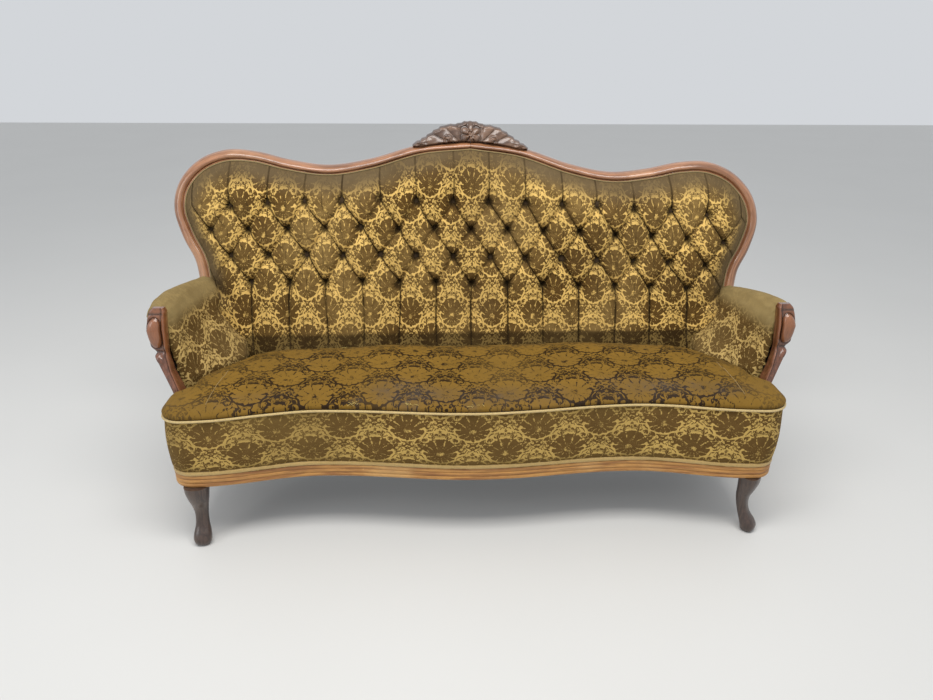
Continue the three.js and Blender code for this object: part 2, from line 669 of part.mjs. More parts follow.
function springs() {
  const low = CROSS_WEB_TOP + GAP + WIRE_RADIUS;
  const stepsPerTurn = 8;
  const steps = SPRING_TURNS * stepsPerTurn;
  const wire = superellipse(WIRE_RADIUS, WIRE_RADIUS, 4, 2);
  SPRING_ROWS.forEach((rowY, row) => {
    SPRING_COLUMNS.forEach((columnX, column) => {
      const high = BORDER_TOP - 3 - WIRE_RADIUS + SEAT_LEAN * columnX;
      const rings = Array.from({ length: steps + 1 }, (_, i) => {
        const t = i / steps;
        const angle = 2 * Math.PI * SPRING_TURNS * t;
        const waist = 27 + 13 * Math.abs(2 * t - 1) ** 2;
        const z = low + (high - low) * t;
        return wire.map((w) => {
          const reach = waist + w.x;
          return new THREE.Vector3(columnX + reach * Math.cos(angle), rowY + reach * Math.sin(angle), z + w.y);
        });
      });
      add(`spring_${row + 1}_${column + 1}`, loft(rings, wire), SPRING_STEEL);
    });
  });
}

function webbing() {
  const half = WEBBING_WIDTH / 2;
  const tuck = RAIL_LIP + 2; // the bands are tacked under the rails, behind the lip
  SPRING_COLUMNS.forEach((x, i) => {
    const front = Math.max(frontLine(x - half), frontLine(x + half)) + tuck;
    const band = box(x - half, x + half, front, RAIL_BACK - 4, CROSS_WEB_TOP - WEBBING_THICK, CROSS_WEB_TOP);
    add(`webbing_cross_${i + 1}`, band, WEBBING);
  });
  SPRING_ROWS.forEach((y, i) => {
    const reach = HALF_RAIL - tuck;
    const band = box(-reach, reach, y - half, y + half, LONG_WEB_TOP - WEBBING_THICK, LONG_WEB_TOP);
    add(`webbing_long_${i + 1}`, band, WEBBING);
  });
}

function dustCover() {
  const top = LONG_WEB_TOP - WEBBING_THICK - GAP;
  const side = HALF_RAIL - RAIL_LIP - 2;
  const frontHalf = 650;
  const steps = 16;
  const outline = [];
  for (let i = 0; i <= steps; i++) {
    const x = -frontHalf + (2 * frontHalf * i) / steps;
    outline.push(v2(x, frontLine(x) + RAIL_LIP + 4));
  }
  const corner = [v2(side, 110), v2(side, RAIL_BACK - 70), v2(side - 60, RAIL_BACK - 3)];
  outline.push(...corner, ...[...corner].reverse().map((p) => v2(-p.x, p.y)));
  add('dust_cover', plate(outline, top - 0.8, top), DUST_CLOTH);
}

// ---- the sofa -----------------------------------------------------------------------------------

seatRails();
cornerBlocks();
legs();
backRails();
backStiles();
backInnerFrame();
backPad();
backCover();
crestCarving();
armPosts();
armPads();
armRails();
armOutsides();
seatBorder();
seatPad();
springHessian();
springs();
webbing();
dustCover();

const whole = new THREE.Box3().setFromObject(sofa);
const middle = whole.getCenter(new THREE.Vector3());
for (const mesh of sofa.children) mesh.geometry.translate(-middle.x, -middle.y, -whole.min.z);

export default sofa;
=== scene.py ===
import math

import bmesh
import bpy
import numpy as np
from mathutils import Matrix, Vector


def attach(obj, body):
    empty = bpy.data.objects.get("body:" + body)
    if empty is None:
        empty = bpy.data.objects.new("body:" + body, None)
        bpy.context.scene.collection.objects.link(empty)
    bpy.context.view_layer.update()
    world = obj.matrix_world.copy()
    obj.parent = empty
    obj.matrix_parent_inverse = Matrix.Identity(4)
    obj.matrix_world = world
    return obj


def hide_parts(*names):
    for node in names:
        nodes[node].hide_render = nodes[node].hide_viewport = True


# The looks of a worn sofa with a carved show frame. Metres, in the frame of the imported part:
# +X along the sofa, +Y to its back, +Z up, the origin on the floor under the middle of its box.

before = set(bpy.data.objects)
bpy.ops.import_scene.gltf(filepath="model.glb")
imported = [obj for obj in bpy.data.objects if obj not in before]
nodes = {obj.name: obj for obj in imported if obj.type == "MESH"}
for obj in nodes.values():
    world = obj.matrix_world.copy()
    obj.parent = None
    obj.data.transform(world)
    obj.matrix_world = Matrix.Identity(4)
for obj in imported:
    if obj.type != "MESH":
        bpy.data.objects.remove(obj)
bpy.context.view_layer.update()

# ---- sizes shared with the part -----------------------------------------------------------------

FEET_Y = -0.32011  # the line through the front feet, from which depths are given below
LEG_TOP = 0.172
REEDS_TOP = 0.207
RAIL_TOP = 0.240
BORDER_TOP = 0.370
SEAT_LEAN = 0.008
CENTRE_FRONT = 0.011
HOLLOW_FRONT = 0.042
CORNER_FRONT = -0.002
HOLLOW_X = 0.410
CORNER_X = 0.738
HALF_RAIL = 0.793
CORNER_DEPTH = 0.052
BORDER_END = 0.100
BACK_RAKE = 0.3
BACK_DATUM_Y = 0.513
BACK_DATUM_Z = 0.547
RACK = math.tan(math.radians(1.3))
PAD_BACK = 0.007
PAD_PROUD = 0.070

FRAME_LINE = [
    (0, 0.941), (0.150, 0.925), (0.300, 0.882), (0.424, 0.862), (0.542, 0.874), (0.640, 0.894),
    (0.725, 0.895), (0.800, 0.865), (0.852, 0.808), (0.867, 0.745), (0.845, 0.668), (0.814, 0.606),
    (0.803, 0.550), (0.798, 0.490), (0.786, 0.420),
]
FRAME_WIDTH = [(0, 20), (0.12, 23), (0.3, 25), (0.5, 26), (0.68, 34), (0.8, 38), (0.9, 38), (1, 34)]
PAD_FOOT = [
    (0.600, 0.352), (0.668, 0.366), (0.690, 0.402),
    (0.750, 0.458), (0.768, 0.488), (0.775, 0.515), (0.779, 0.540),
]


def clamp01(t):
    return np.clip(t, 0.0, 1.0)


def smooth(t):
    t = clamp01(np.asarray(t, float))
    return t * t * (3 - 2 * t)


def ramp(a, b, value):
    return smooth((np.asarray(value, float) - a) / (b - a))


def points(x, y, z):
    """Stacks coordinates given from the front feet's line into points of the row frame."""
    x, y, z = np.broadcast_arrays(*(np.asarray(v, float) for v in (x, y, z)))
    return np.stack([x, y + FEET_Y, z], -1)


def front_line(x):
    reach = np.abs(x)
    inner = (1 - np.cos(np.pi * reach / HOLLOW_X)) / 2
    outer = (1 + np.cos(np.pi * (reach - HOLLOW_X) / (CORNER_X - HOLLOW_X))) / 2
    near = CENTRE_FRONT + (HOLLOW_FRONT - CENTRE_FRONT) * inner
    far = CORNER_FRONT + (HOLLOW_FRONT - CORNER_FRONT) * outer
    return np.where(reach <= HOLLOW_X, near, far)


def resample(line, count):
    """Evenly spaced points along a line of points, with the length run at each."""
    line = np.asarray(line, float)
    run = np.concatenate([[0], np.cumsum(np.linalg.norm(np.diff(line, axis=0), axis=1))])
    at = np.linspace(0, run[-1], count)
    return np.stack([np.interp(at, run, line[:, i]) for i in range(line.shape[1])], -1), at


def seat_edge(side_end, count):
    """The rails' outer face in plan, from the left side round the front to the right side."""
    turn = np.linspace(0, np.pi / 2, 24)
    corner = np.stack(
        [
            CORNER_X + (HALF_RAIL - CORNER_X) * np.cos(turn),
            CORNER_FRONT + CORNER_DEPTH * (1 - np.sin(turn)),
        ],
        -1,
    )
    xs = np.linspace(CORNER_X, -CORNER_X, 240)[1:-1]
    front = np.stack([xs, front_line(xs)], -1)
    start = np.array([[HALF_RAIL, side_end]])
    right = np.concatenate([start, corner])
    left = right[::-1] * [-1, 1]
    whole = np.concatenate([right, front, left])[::-1]
    line, run = resample(whole, count)
    along = np.gradient(line, axis=0)
    along /= np.linalg.norm(along, axis=1, keepdims=True)
    inward = np.stack([-along[:, 1], along[:, 0]], -1)
    return line, inward, run - run[-1] / 2


def rack(x, z):
    """How far a point of the back has slid down the raked plane."""
    return x * RACK * ramp(0.400, 0.560, z)


def back_point(x, z, off):
    """A point at height z on the back's face, moved `off` behind it, on the racked frame."""
    x, z, off = np.broadcast_arrays(*(np.asarray(v, float) for v in (x, z, off)))
    slide = rack(x, z)
    y = BACK_DATUM_Y + BACK_RAKE * (z - BACK_DATUM_Z) + off - slide * BACK_RAKE
    return points(x, y, z - slide)


def spline(stations, count):
    """A centripetal Catmull-Rom curve through the stations, evenly spaced."""
    p = np.asarray(stations, float)
    p = np.concatenate([[2 * p[0] - p[1]], p, [2 * p[-1] - p[-2]]])
    pieces = []
    for p0, p1, p2, p3 in zip(p[:-3], p[1:-2], p[2:-1], p[3:]):
        d0, d1, d2 = (np.linalg.norm(b - a) ** 0.5 for a, b in ((p0, p1), (p1, p2), (p2, p3)))
        m1 = ((p1 - p0) / d0 - (p2 - p0) / (d0 + d1) + (p2 - p1) / d1) * d1
        m2 = ((p2 - p1) / d1 - (p3 - p1) / (d1 + d2) + (p3 - p2) / d2) * d1
        t = np.linspace(0, 1, 24, endpoint=False)[:, None]
        pieces.append(
            p1 + m1 * t + (3 * (p2 - p1) - 2 * m1 - m2) * t**2 + (2 * (p1 - p2) + m1 + m2) * t**3
        )
    line = np.concatenate([*pieces, [p[-2]]])
    return resample(line, count)


def frame_path(count):
    """Middle, outward direction and half width of the show frame's right half."""
    middle, run = spline(FRAME_LINE, count)
    along = np.gradient(middle, axis=0)
    along /= np.linalg.norm(along, axis=1, keepdims=True)
    outward = np.stack([-along[:, 1], along[:, 0]], -1)
    keys, widths = zip(*FRAME_WIDTH)
    half = np.interp(run / run[-1], keys, widths) / 2000
    return middle, outward, half, run


def wobble(x, y, scale, seed):
    """A smooth seeded field, about -1 to 1, whose waves are about `scale` long."""
    dice = np.random.default_rng(seed)
    total = np.zeros(np.broadcast(x, y).shape)
    for _ in range(7):
        angle = dice.uniform(0, np.pi)
        wave = scale * dice.uniform(0.7, 1.8)
        phase = dice.uniform(0, 2 * np.pi)
        along = x * np.cos(angle) + y * np.sin(angle)
        total = total + np.sin(2 * np.pi * along / wave + phase)
    return total / 3.2


# ---- meshes -------------------------------------------------------------------------------------


def piece(name, verts, faces, stands_for=()):
    """A mesh object of the sofa that stands for the CAD nodes named."""
    mesh = bpy.data.meshes.new(name)
    mesh.from_pydata(np.asarray(verts, float).reshape(-1, 3).tolist(), [], faces)
    mesh.validate()
    obj = bpy.data.objects.new(name, mesh)
    bpy.context.scene.collection.objects.link(obj)
    return dress(obj, stands_for)


def dress(obj, stands_for=()):
    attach(obj, "root")
    if stands_for:
        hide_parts(*stands_for)
    return obj


def grid_faces(rows, cols, around=False, start=0):
    index = np.arange(rows * cols).reshape(rows, cols) + start
    if around:
        index = np.hstack([index, index[:, :1]])
    quads = np.stack([index[:-1, :-1], index[:-1, 1:], index[1:, 1:], index[1:, :-1]], -1)
    return quads.reshape(-1, 4).tolist()


def tube(name, rings, stands_for=(), caps=True):
    """Closed rings joined one to the next, with both ends capped."""
    rows, cols = rings.shape[:2]
    faces = grid_faces(rows, cols, around=True)
    if caps:
        faces.append(list(range(cols))[::-1])
        faces.append([(rows - 1) * cols + i for i in range(cols)])
    obj = piece(name, rings, faces, stands_for)
    face_out(obj)
    return obj


def face_out(obj):
    bm = bmesh.new()
    bm.from_mesh(obj.data)
    bmesh.ops.recalc_face_normals(bm, faces=bm.faces)
    bm.to_mesh(obj.data)
    bm.free()


def shade(obj, angle=40):
    """Smooth shading, with edges sharper than the angle left crisp."""
    obj.data.shade_smooth()
    obj.data.set_sharp_from_angle(angle=math.radians(angle))
    return obj


def coords(obj):
    co = np.empty(len(obj.data.vertices) * 3)
    obj.data.vertices.foreach_get("co", co)
    return co.reshape(-1, 3)


def set_coords(obj, co):
    obj.data.vertices.foreach_set("co", np.asarray(co, float).ravel())
    obj.data.update()


def store(obj, name, values):
    """Keeps a number or a vector for each point, for the materials to read."""
    values = np.asarray(values, float)
    kind = "FLOAT" if values.ndim == 1 else "FLOAT_VECTOR"
    attribute = obj.data.attributes.new(name, kind, "POINT")
    attribute.data.foreach_set("value" if values.ndim == 1 else "vector", values.ravel())


def lay_cloth(obj, u, v, fade=0.0, rub=0.0, crease_shade=0.0):
    """Cloth coordinates in metres for the woven pattern, how faded and rubbed it is, and how much painted
    shade darkens it in creases and joins.
    """
    zero = np.zeros(len(obj.data.vertices))
    store(obj, "cloth", np.stack([u + zero, v + zero, zero], -1))
    store(obj, "fade", fade + zero)
    store(obj, "rub", rub + zero)
    store(obj, "crease_shade", crease_shade + zero)


def sweep(line, inward, section, height=None):
    """Carries section points (inward distance, height) along a plan line; returns rings of points."""
    lean = np.zeros(len(line)) if height is None else height
    x = line[:, None, 0] + inward[:, None, 0] * section[None, :, 0]
    y = line[:, None, 1] + inward[:, None, 1] * section[None, :, 0]
    z = section[None, :, 1] + lean[:, None]
    return points(x, y, z)


def circle(radius, count):
    turn = np.linspace(0, 2 * np.pi, count, endpoint=False)
    return radius * np.cos(turn), radius * np.sin(turn)


# ---- materials ----------------------------------------------------------------------------------


class Field:
    """A number that varies over a surface, built from math nodes."""

    def __init__(self, tree, socket):
        self.tree = tree
        self.socket = socket

    def node(self, operation, *others):
        node = self.tree.nodes.new("ShaderNodeMath")
        node.operation = operation
        for slot, value in zip(node.inputs, (self, *others)):
            if isinstance(value, Field):
                self.tree.links.new(value.socket, slot)
            else:
                slot.default_value = value
        return Field(self.tree, node.outputs[0])

    def __add__(self, other):
        return self.node("ADD", other)

    __radd__ = __add__

    def __sub__(self, other):
        return self.node("SUBTRACT", other)

    def __rsub__(self, other):
        return self.node("MULTIPLY", -1.0).node("ADD", other)

    def __mul__(self, other):
        return self.node("MULTIPLY", other)

    __rmul__ = __mul__

    def __truediv__(self, other):
        return self.node("DIVIDE", other)

    def abs(self):
        return self.node("ABSOLUTE")

    def sin(self):
        return self.node("SINE")

    def cos(self):
        return self.node("COSINE")

    def fract(self):
        return self.node("FRACT")

    def power(self, other):
        return self.node("POWER", other)

    def most(self, other):
        return self.node("MAXIMUM", other)

    def least(self, other):
        return self.node("MINIMUM", other)

    def angle(self, other):
        return self.node("ARCTAN2", other)

    def length(self, other):
        return (self * self + other * other).node("SQRT")

    def step(self, low, high):
        """0 at low, 1 at high, smooth between."""
        node = self.tree.nodes.new("ShaderNodeMapRange")
        node.interpolation_type = "SMOOTHSTEP"
        self.tree.links.new(self.socket, node.inputs["Value"])
        node.inputs["From Min"].default_value = low
        node.inputs["From Max"].default_value = high
        return Field(self.tree, node.outputs["Result"])

    def band(self, half, soft):
        """1 where the value is within half of zero."""
        return 1.0 - self.abs().step(half - soft, half + soft)


class Finish:
    """A node material that is put together step by step."""

    def __init__(self, name):
        self.material = bpy.data.materials.new(name)
        self.material.use_nodes = True
        self.tree = self.material.node_tree
        self.shader = self.tree.nodes["Principled BSDF"]

    def new(self, kind):
        return self.tree.nodes.new(kind)

    def link(self, a, b):
        self.tree.links.new(a.socket if isinstance(a, Field) else a, b)

    def attribute(self, name):
        node = self.new("ShaderNodeAttribute")
        node.attribute_name = name
        return node

    def number(self, name):
        return Field(self.tree, self.attribute(name).outputs["Fac"])

    def axes(self, socket):
        node = self.new("ShaderNodeSeparateXYZ")
        self.link(socket, node.inputs[0])
        return [Field(self.tree, node.outputs[i]) for i in range(3)]

    def place(self):
        return self.new("ShaderNodeTexCoord").outputs["Object"]

    def stretched(self, socket, scale, turn=(0, 0, 0)):
        node = self.new("ShaderNodeMapping")
        node.inputs["Scale"].default_value = scale
        node.inputs["Rotation"].default_value = turn
        self.link(socket, node.inputs["Vector"])
        return node.outputs["Vector"]

    def noise(self, socket, scale, detail=3.0, rough=0.55, twist=0.0):
        node = self.new("ShaderNodeTexNoise")
        node.inputs["Scale"].default_value = scale
        node.inputs["Detail"].default_value = detail
        node.inputs["Roughness"].default_value = rough
        node.inputs["Distortion"].default_value = twist
        self.link(socket, node.inputs["Vector"])
        return Field(self.tree, node.outputs["Fac"])

    def mix(self, amount, a, b):
        node = self.new("ShaderNodeMix")
        node.data_type = "RGBA"
        self.link(amount, node.inputs["Factor"])
        for slot, value in ((node.inputs[6], a), (node.inputs[7], b)):
            if isinstance(value, tuple):
                slot.default_value = (*value, 1.0)
            else:
                self.link(value, slot)
        return node.outputs[2]

    def shaded(self, colour, factor):
        """The colour made darker or lighter by a factor that varies over the surface."""
        node = self.new("ShaderNodeVectorMath")
        node.operation = "SCALE"
        self.link(colour, node.inputs[0])
        self.link(factor, node.inputs["Scale"])
        return node.outputs[0]

    def set(self, **values):
        for name, value in values.items():
            slot = self.shader.inputs[name.replace("_", " ")]
            slot.default_value = (*value, 1.0) if isinstance(value, tuple) else value

    def colour(self, socket):
        self.link(socket, self.shader.inputs["Base Color"])

    def rough(self, field):
        self.link(field, self.shader.inputs["Roughness"])

    def bump(self, *layers):
        """Layers of (height field, distance in metres), laid one over the other."""
        last = None
        for field, distance in layers:
            node = self.new("ShaderNodeBump")
            node.inputs["Distance"].default_value = distance
            node.inputs["Strength"].default_value = 1.0
            self.link(field, node.inputs["Height"])
            if last is not None:
                self.link(last, node.inputs["Normal"])
            last = node.outputs[0]
        self.link(last, self.shader.inputs["Normal"])

    def on(self, *objects):
        for obj in objects:
            obj.data.materials.clear()
            obj.data.materials.append(self.material)


REPEAT_U = 0.167  # the damask repeats at this width and height, with every other row dropped by half
REPEAT_V = 0.162


def figure_in(finish, across, up, scale, detail, twist):
    """A smooth figure in two directions, mirrored wherever `across` is mirrored."""
    join = finish.new("ShaderNodeCombineXYZ")
    finish.link(across, join.inputs[0])
    finish.link(up, join.inputs[1])
    return finish.noise(join.outputs[0], scale, detail, 0.55, twist)


def damask(finish):
    """The cut pile of the damask: 1 on the pile, 0 on the bare ground, from the cloth coordinates."""
    where = finish.attribute("cloth").outputs["Vector"]
    u, v, _ = finish.axes(where)
    drift = finish.noise(where, 60.0, 3.0, 0.6)
    other = finish.noise(finish.stretched(where, (1, 1, 1), (0, 0, 1.3)), 66.0, 3.0, 0.6)
    u = u + (drift - 0.5) * 0.011
    v = v + (other - 0.5) * 0.011
    ua = ((u / REPEAT_U + 0.5).fract() - 0.5) * REPEAT_U
    va = ((v / REPEAT_V + 0.5).fract() - 0.5) * REPEAT_V
    ub = ((u / REPEAT_U).fract() - 0.5) * REPEAT_U
    vb = ((v / REPEAT_V).fract() - 0.5) * REPEAT_V
    reach_a = ua.abs() / REPEAT_U + va.abs() / REPEAT_V
    in_b = reach_a.node("GREATER_THAN", 0.5)
    x = (ua + (ub - ua) * in_b).abs()
    y = va + (vb - va) * in_b
    # The medallion: brown petals about a small gold heart, inside a thin ragged line of bare ground.
    low = y + 0.010
    r = x.length(low)
    turn = x.angle(low)
    leafage = figure_in(finish, x, y, 42.0, 1.5, 1.4)
    small = figure_in(finish, x, y, 130.0, 2.0, 0.8)
    radius = 0.0425 + turn.cos() * 0.0125 + turn.cos().most(0.0).power(4.0) * 0.004
    petals = (turn * 12.0).cos()
    share = r / radius - petals * 0.035 + (small - 0.5) * 0.14
    ray_reach = share.step(0.30, 0.50) * (0.38 + (leafage - 0.5).abs() * 2.4)
    gaps = (1.0 - (petals + 1.0).step(0.03, 0.42)) * ray_reach
    stipple = (small - 0.5).band(0.045, 0.035) * (1.0 - share.step(0.75, 0.95)) * 0.42
    heart = (1.0 - share.step(0.16, 0.32)) * 0.55
    gap_width = 0.048 + turn.step(1.5, 2.3) * 0.075 + (leafage - 0.5) * 0.45
    outline = 1.0 - ((share - 1.06).abs() - gap_width).step(-0.03, 0.03)
    inner = (1.0 - share.step(0.98, 1.04)) * gaps.most(heart).most(stipple)
    # Between the medallions: brown scrolls and leaves parted by gaps of ground, and a star where
    # the straps cross.
    outside = (share - 1.08).step(0.0, 0.05)
    veins = (leafage - 0.46).band(0.024, 0.014)
    patches = leafage.step(0.570, 0.595)
    sprigs = (small - 0.5).band(0.020, 0.016) * 0.22
    sx = x - REPEAT_U / 2
    star_r = sx.length(y - 0.004)
    star_turn = sx.angle(y - 0.004)
    star = 1.0 - (star_r - 0.004 - (star_turn * 2.0).sin().power(2.0) * 0.020).step(-0.003, 0.003)
    ring = (sx.length(y + 0.030) - 0.007).band(0.0020, 0.0014)
    cx = x - 0.044
    cy = y + 0.040
    curl_r = cx.length(cy)
    curl = 1.0 - curl_r.step(0.0115, 0.0130)
    swirl = (curl_r * 560.0 - cx.angle(cy)).cos().step(0.15, 0.75) * curl
    scrolls = (veins.most(patches).most(sprigs) * (1.0 - curl)).most(swirl * 0.9)
    leaves = outside * scrolls
    gold = inner.most(outline).most(leaves).most(star).most(ring * 0.9)
    fleck = finish.noise(where, 330.0, 3.0, 0.65)
    broken = finish.noise(where, 75.0, 2.0)
    return 1.0 - (gold + (fleck - 0.5) * 0.8 + (broken - 0.5) * 0.9).step(0.46, 0.64)


def buttoning(finish):
    """Painted shade along the lines of the folds and in the dimple and gathers about each button, and the
    folds' heights: (dark, height), where dark is painted shade.
    """
    a, b, row = finish.axes(finish.attribute("tuft").outputs["Vector"])
    dx, dz, _ = finish.axes(finish.attribute("button").outputs["Vector"])
    patchy = finish.noise(finish.place(), 11.0, 2.0)
    off_a = (a - a.node("ROUND")).abs()
    off_b = (b - b.node("ROUND")).abs()
    outer = row.step(0.95, 1.05) * (1.0 - row.step(3.95, 4.05))
    line_a = (1.0 - off_a.step(0.006, 0.028)) * (0.30 + patchy.step(0.45, 0.70) * 0.5)
    line_b = (1.0 - off_b.step(0.008, 0.034)) * (0.5 + patchy.step(0.30, 0.55) * 0.5)
    line = line_b.most(line_a * outer)
    soft = (1.0 - off_b.step(0.0, 0.110)) * 0.30
    r = dx.length(dz)
    dimple = 1.0 - r.step(0.0075, 0.0165)
    rays = (dx.angle(dz) * 11.0 + a * 9.0).cos() * (1.0 - r.step(0.012, 0.036)) * r.step(0.004, 0.012)
    ends = 1.0 - (1.0 - row).step(0.35, 1.3) * 0.45
    # Painted shade: the fold lines, the button dimples and a soft band along the folds; the rays add painted
    # shade in the gathers.
    dark = (line * 0.86 * ends).most(dimple * 0.72).most(soft * outer)
    return dark + rays.most(0.0) * 0.22, rays * 0.5 - line * 0.8


def velvet(name, pile, ground, faded, strength=1.0, lift=0.0007, buttoned=False):
    """Damask velvet in two colours, which fades to one plain colour where it is old and rubbed."""
    f = Finish(name)
    mask = damask(f)
    fade = f.number("fade")
    rub = f.number("rub")
    where = f.place()
    cloud = f.noise(where, 7.0, 4.0)
    soil = f.noise(where, 45.0, 4.0, 0.6)
    nap = f.noise(where, 900.0, 2.0)
    keep = clip(strength - fade * 0.95 + (soil - 0.5) * 0.35)
    crease_shade = f.number("crease_shade")
    pattern = 1.0 - (1.0 - mask) * keep
    base = f.mix(pattern, ground, pile)
    base = f.mix(clip(fade + (cloud - 0.5) * 0.5 * fade), base, faded)
    shine = tuple(min(1.0, c * 1.25 + 0.05) for c in ground)
    base = f.mix(clip(rub * (0.55 + (soil - 0.5) * 1.6)), base, shine)
    tone = 0.62 + cloud * 0.42 + soil * 0.24 + (nap - 0.5) * 0.35
    # Painted shade: creases, pits and joins are darkened towards a deep brown.
    base = f.mix(clip(crease_shade), base, tuple(c * 0.22 for c in pile))
    layers = [(pattern, lift), (nap, 0.0006)]
    if buttoned:
        dark, folds = buttoning(f)
        # Painted shade along the folds and about the buttons.
        base = f.mix(clip(dark), base, tuple(c * 0.20 for c in pile))
        layers.append((folds, 0.0016))
    f.colour(f.shaded(base, tone))
    f.rough(0.62 + pattern * 0.28)
    f.set(Sheen_Weight=0.10, Sheen_Roughness=0.4, Sheen_Tint=(0.90, 0.66, 0.28), Specular_IOR_Level=0.12)
    f.bump(*layers)
    return f


def clip(field):
    return field.most(0.0).least(1.0)


def cloth(name, colour, weave=1400.0, deep=0.0004, sheen=0.1, rough=0.9):
    """A plain woven cloth: threads both ways, uneven dye and dust."""
    f = Finish(name)
    where = f.place()
    x, y, z = f.axes(where)
    warp = ((x + z * 0.6) * weave * 3.0).sin()
    weft = ((y + z * 0.9) * weave * 3.0).sin()
    thread = warp.abs() * 0.5 + weft.abs() * 0.5
    cloud = f.noise(where, 9.0, 4.0)
    speck = f.noise(where, 260.0, 3.0)
    tone = 0.66 + cloud * 0.4 + thread * 0.16 + (speck - 0.5) * 0.5
    node = f.mix(cloud, colour, tuple(c * 0.8 for c in colour))
    f.colour(f.shaded(node, tone))
    f.set(Roughness=rough, Sheen_Weight=sheen, Specular_IOR_Level=0.2)
    f.bump((thread + speck, deep))
    return f


def wood(name, dark, mid, pale, grain, gloss=0.3, wear=0.5, coat=0.35, scale=1.0):
    """Polished wood: grain stretched along one direction, darker pores, rubbed and chipped polish.
    `grain` is the attribute that runs along the wood, or the stretch of the object's own axes."""
    f = Finish(name)
    where = f.attribute(grain).outputs["Vector"] if isinstance(grain, str) else f.place()
    stretch = (1.0, 14.0, 14.0) if isinstance(grain, str) else grain
    along = f.stretched(where, stretch)
    figure = f.noise(along, 7.0 * scale, 5.0, 0.6, 0.8)
    pores = f.noise(f.stretched(where, stretch), 55.0 * scale, 3.0, 0.7)
    own = f.place()
    cloud = f.noise(own, 6.0, 3.0)
    scuff = f.noise(own, 70.0, 5.0, 0.7)
    base = f.mix(figure.step(0.35, 0.65), mid, dark)
    base = f.mix(clip((cloud.step(0.5, 0.72)) * 0.5), base, pale)
    base = f.mix(clip(scuff.step(0.66, 0.74) * wear), base, pale)
    # Painted highlight: lightened to the pale colour where the 'lit' attribute is set.
    base = f.mix(clip(f.number("lit")), base, pale)
    # Painted shade: darkened where the 'hollow' attribute is set.
    base = f.mix(clip(f.number("hollow")), base, tuple(c * 0.30 for c in dark))
    tone = 0.74 + pores.step(0.3, 0.6) * 0.3
    f.colour(f.shaded(base, tone))
    f.rough(gloss + scuff * 0.22 + (1.0 - pores.step(0.25, 0.5)) * 0.1)
    f.set(Coat_Weight=coat, Coat_Roughness=0.10, Specular_IOR_Level=0.5)
    f.bump((pores, 0.00025), (scuff, 0.0003))
    return f


PILE = (0.092, 0.048, 0.011)
GROUND = (0.68, 0.44, 0.125)
FADED = (0.125, 0.089, 0.047)
SEAT_PILE = (0.215, 0.118, 0.018)
SEAT_GROUND = (0.022, 0.010, 0.002)

back_velvet = velvet("back_velvet", PILE, GROUND, FADED, buttoned=True)
arm_velvet = velvet("arm_velvet", PILE, (0.50, 0.34, 0.115), (0.28, 0.205, 0.085))
border_velvet = velvet("border_velvet", (0.120, 0.064, 0.017), (0.56, 0.37, 0.105), (0.185, 0.12, 0.036))
seat_velvet = velvet("seat_velvet", SEAT_PILE, SEAT_GROUND, (0.18, 0.105, 0.024), 1.0, 0.0003)
plain_velvet = cloth("plain_velvet", (0.17, 0.115, 0.03), 900.0, 0.0004, 0.4, 0.85)
button_velvet = cloth("button_velvet", (0.05, 0.028, 0.010), 1200.0, 0.0003, 0.2, 0.85)
cord_yarn = cloth("cord_yarn", (0.78, 0.58, 0.26), 1800.0, 0.0004, 0.2, 0.85)
seam_yarn = cloth("seam_yarn", (0.36, 0.24, 0.085), 1500.0, 0.0003, 0.1, 0.85)
fray_yarn = cloth("fray_yarn", (0.70, 0.52, 0.16), 1500.0, 0.0003, 0.1, 0.85)
welt_yarn = cloth("welt_yarn", (0.36, 0.27, 0.12), 1500.0, 0.0004, 0.2, 0.8)
trim_cloth = cloth("trim_cloth", (0.56, 0.38, 0.14), 1300.0, 0.0003, 0.3, 0.85)
jute = cloth("jute", (0.40, 0.28, 0.14), 500.0, 0.0008, 0.05, 0.95)
webbing_jute = cloth("webbing_jute", (0.30, 0.23, 0.13), 700.0, 0.0007, 0.05, 0.95)
black_cotton = cloth("black_cotton", (0.022, 0.021, 0.021), 1100.0, 0.0003, 0.05, 0.95)

show_wood = wood(
    "show_wood", (0.190, 0.076, 0.030), (0.40, 0.180, 0.085), (0.54, 0.29, 0.150), "grain", 0.20, 0.35, 0.8
)
post_wood = wood(
    "post_wood", (0.090, 0.030, 0.013), (0.19, 0.066, 0.030), (0.40, 0.150, 0.055),
    (16, 16, 1.2), 0.20, 0.35, 0.8,
)
crest_wood = wood(
    "crest_wood", (0.085, 0.045, 0.028), (0.200, 0.110, 0.065), (0.42, 0.31, 0.23),
    (1.5, 12, 9), 0.24, 0.5, 0.7,
)
rail_wood = wood(
    "rail_wood", (0.28, 0.115, 0.030), (0.53, 0.26, 0.065), (0.70, 0.42, 0.15),
    "grain", 0.42, 0.8, 0.1,
)
leg_wood = wood(
    "leg_wood", (0.038, 0.022, 0.016), (0.075, 0.045, 0.032), (0.20, 0.14, 0.10),
    (18, 18, 1.4), 0.25, 0.4, 0.4,
)
beech = wood(
    "beech", (0.38, 0.24, 0.13), (0.55, 0.38, 0.22), (0.66, 0.50, 0.31),
    (1.2, 16, 16), 0.7, 0.4, 0.0,
)

steel = Finish("spring_steel")
steel_place = steel.place()
steel_tarnish = steel.noise(steel_place, 120.0, 4.0)
steel.colour(steel.mix(steel_tarnish.step(0.4, 0.7), (0.32, 0.30, 0.28), (0.20, 0.10, 0.05)))
steel.set(Metallic=0.85)
steel.rough(0.35 + steel_tarnish * 0.4)
steel.bump((steel_tarnish, 0.0002))

# ---- the buttoned back --------------------------------------------------------------------------

BUTTON_PITCH = 0.1077
LOST = {(1, -2.5), (2, -4.0)}
ROW_TOP = 0.7925
ROW_GAP = 0.0772


def row_height(row, x):
    """Height of a row of buttons; the rows droop a little towards the ends, the top row most."""
    droop = 0.045 - 0.010 * (row - 1)
    return ROW_TOP - ROW_GAP * (row - 1) - droop * x * x


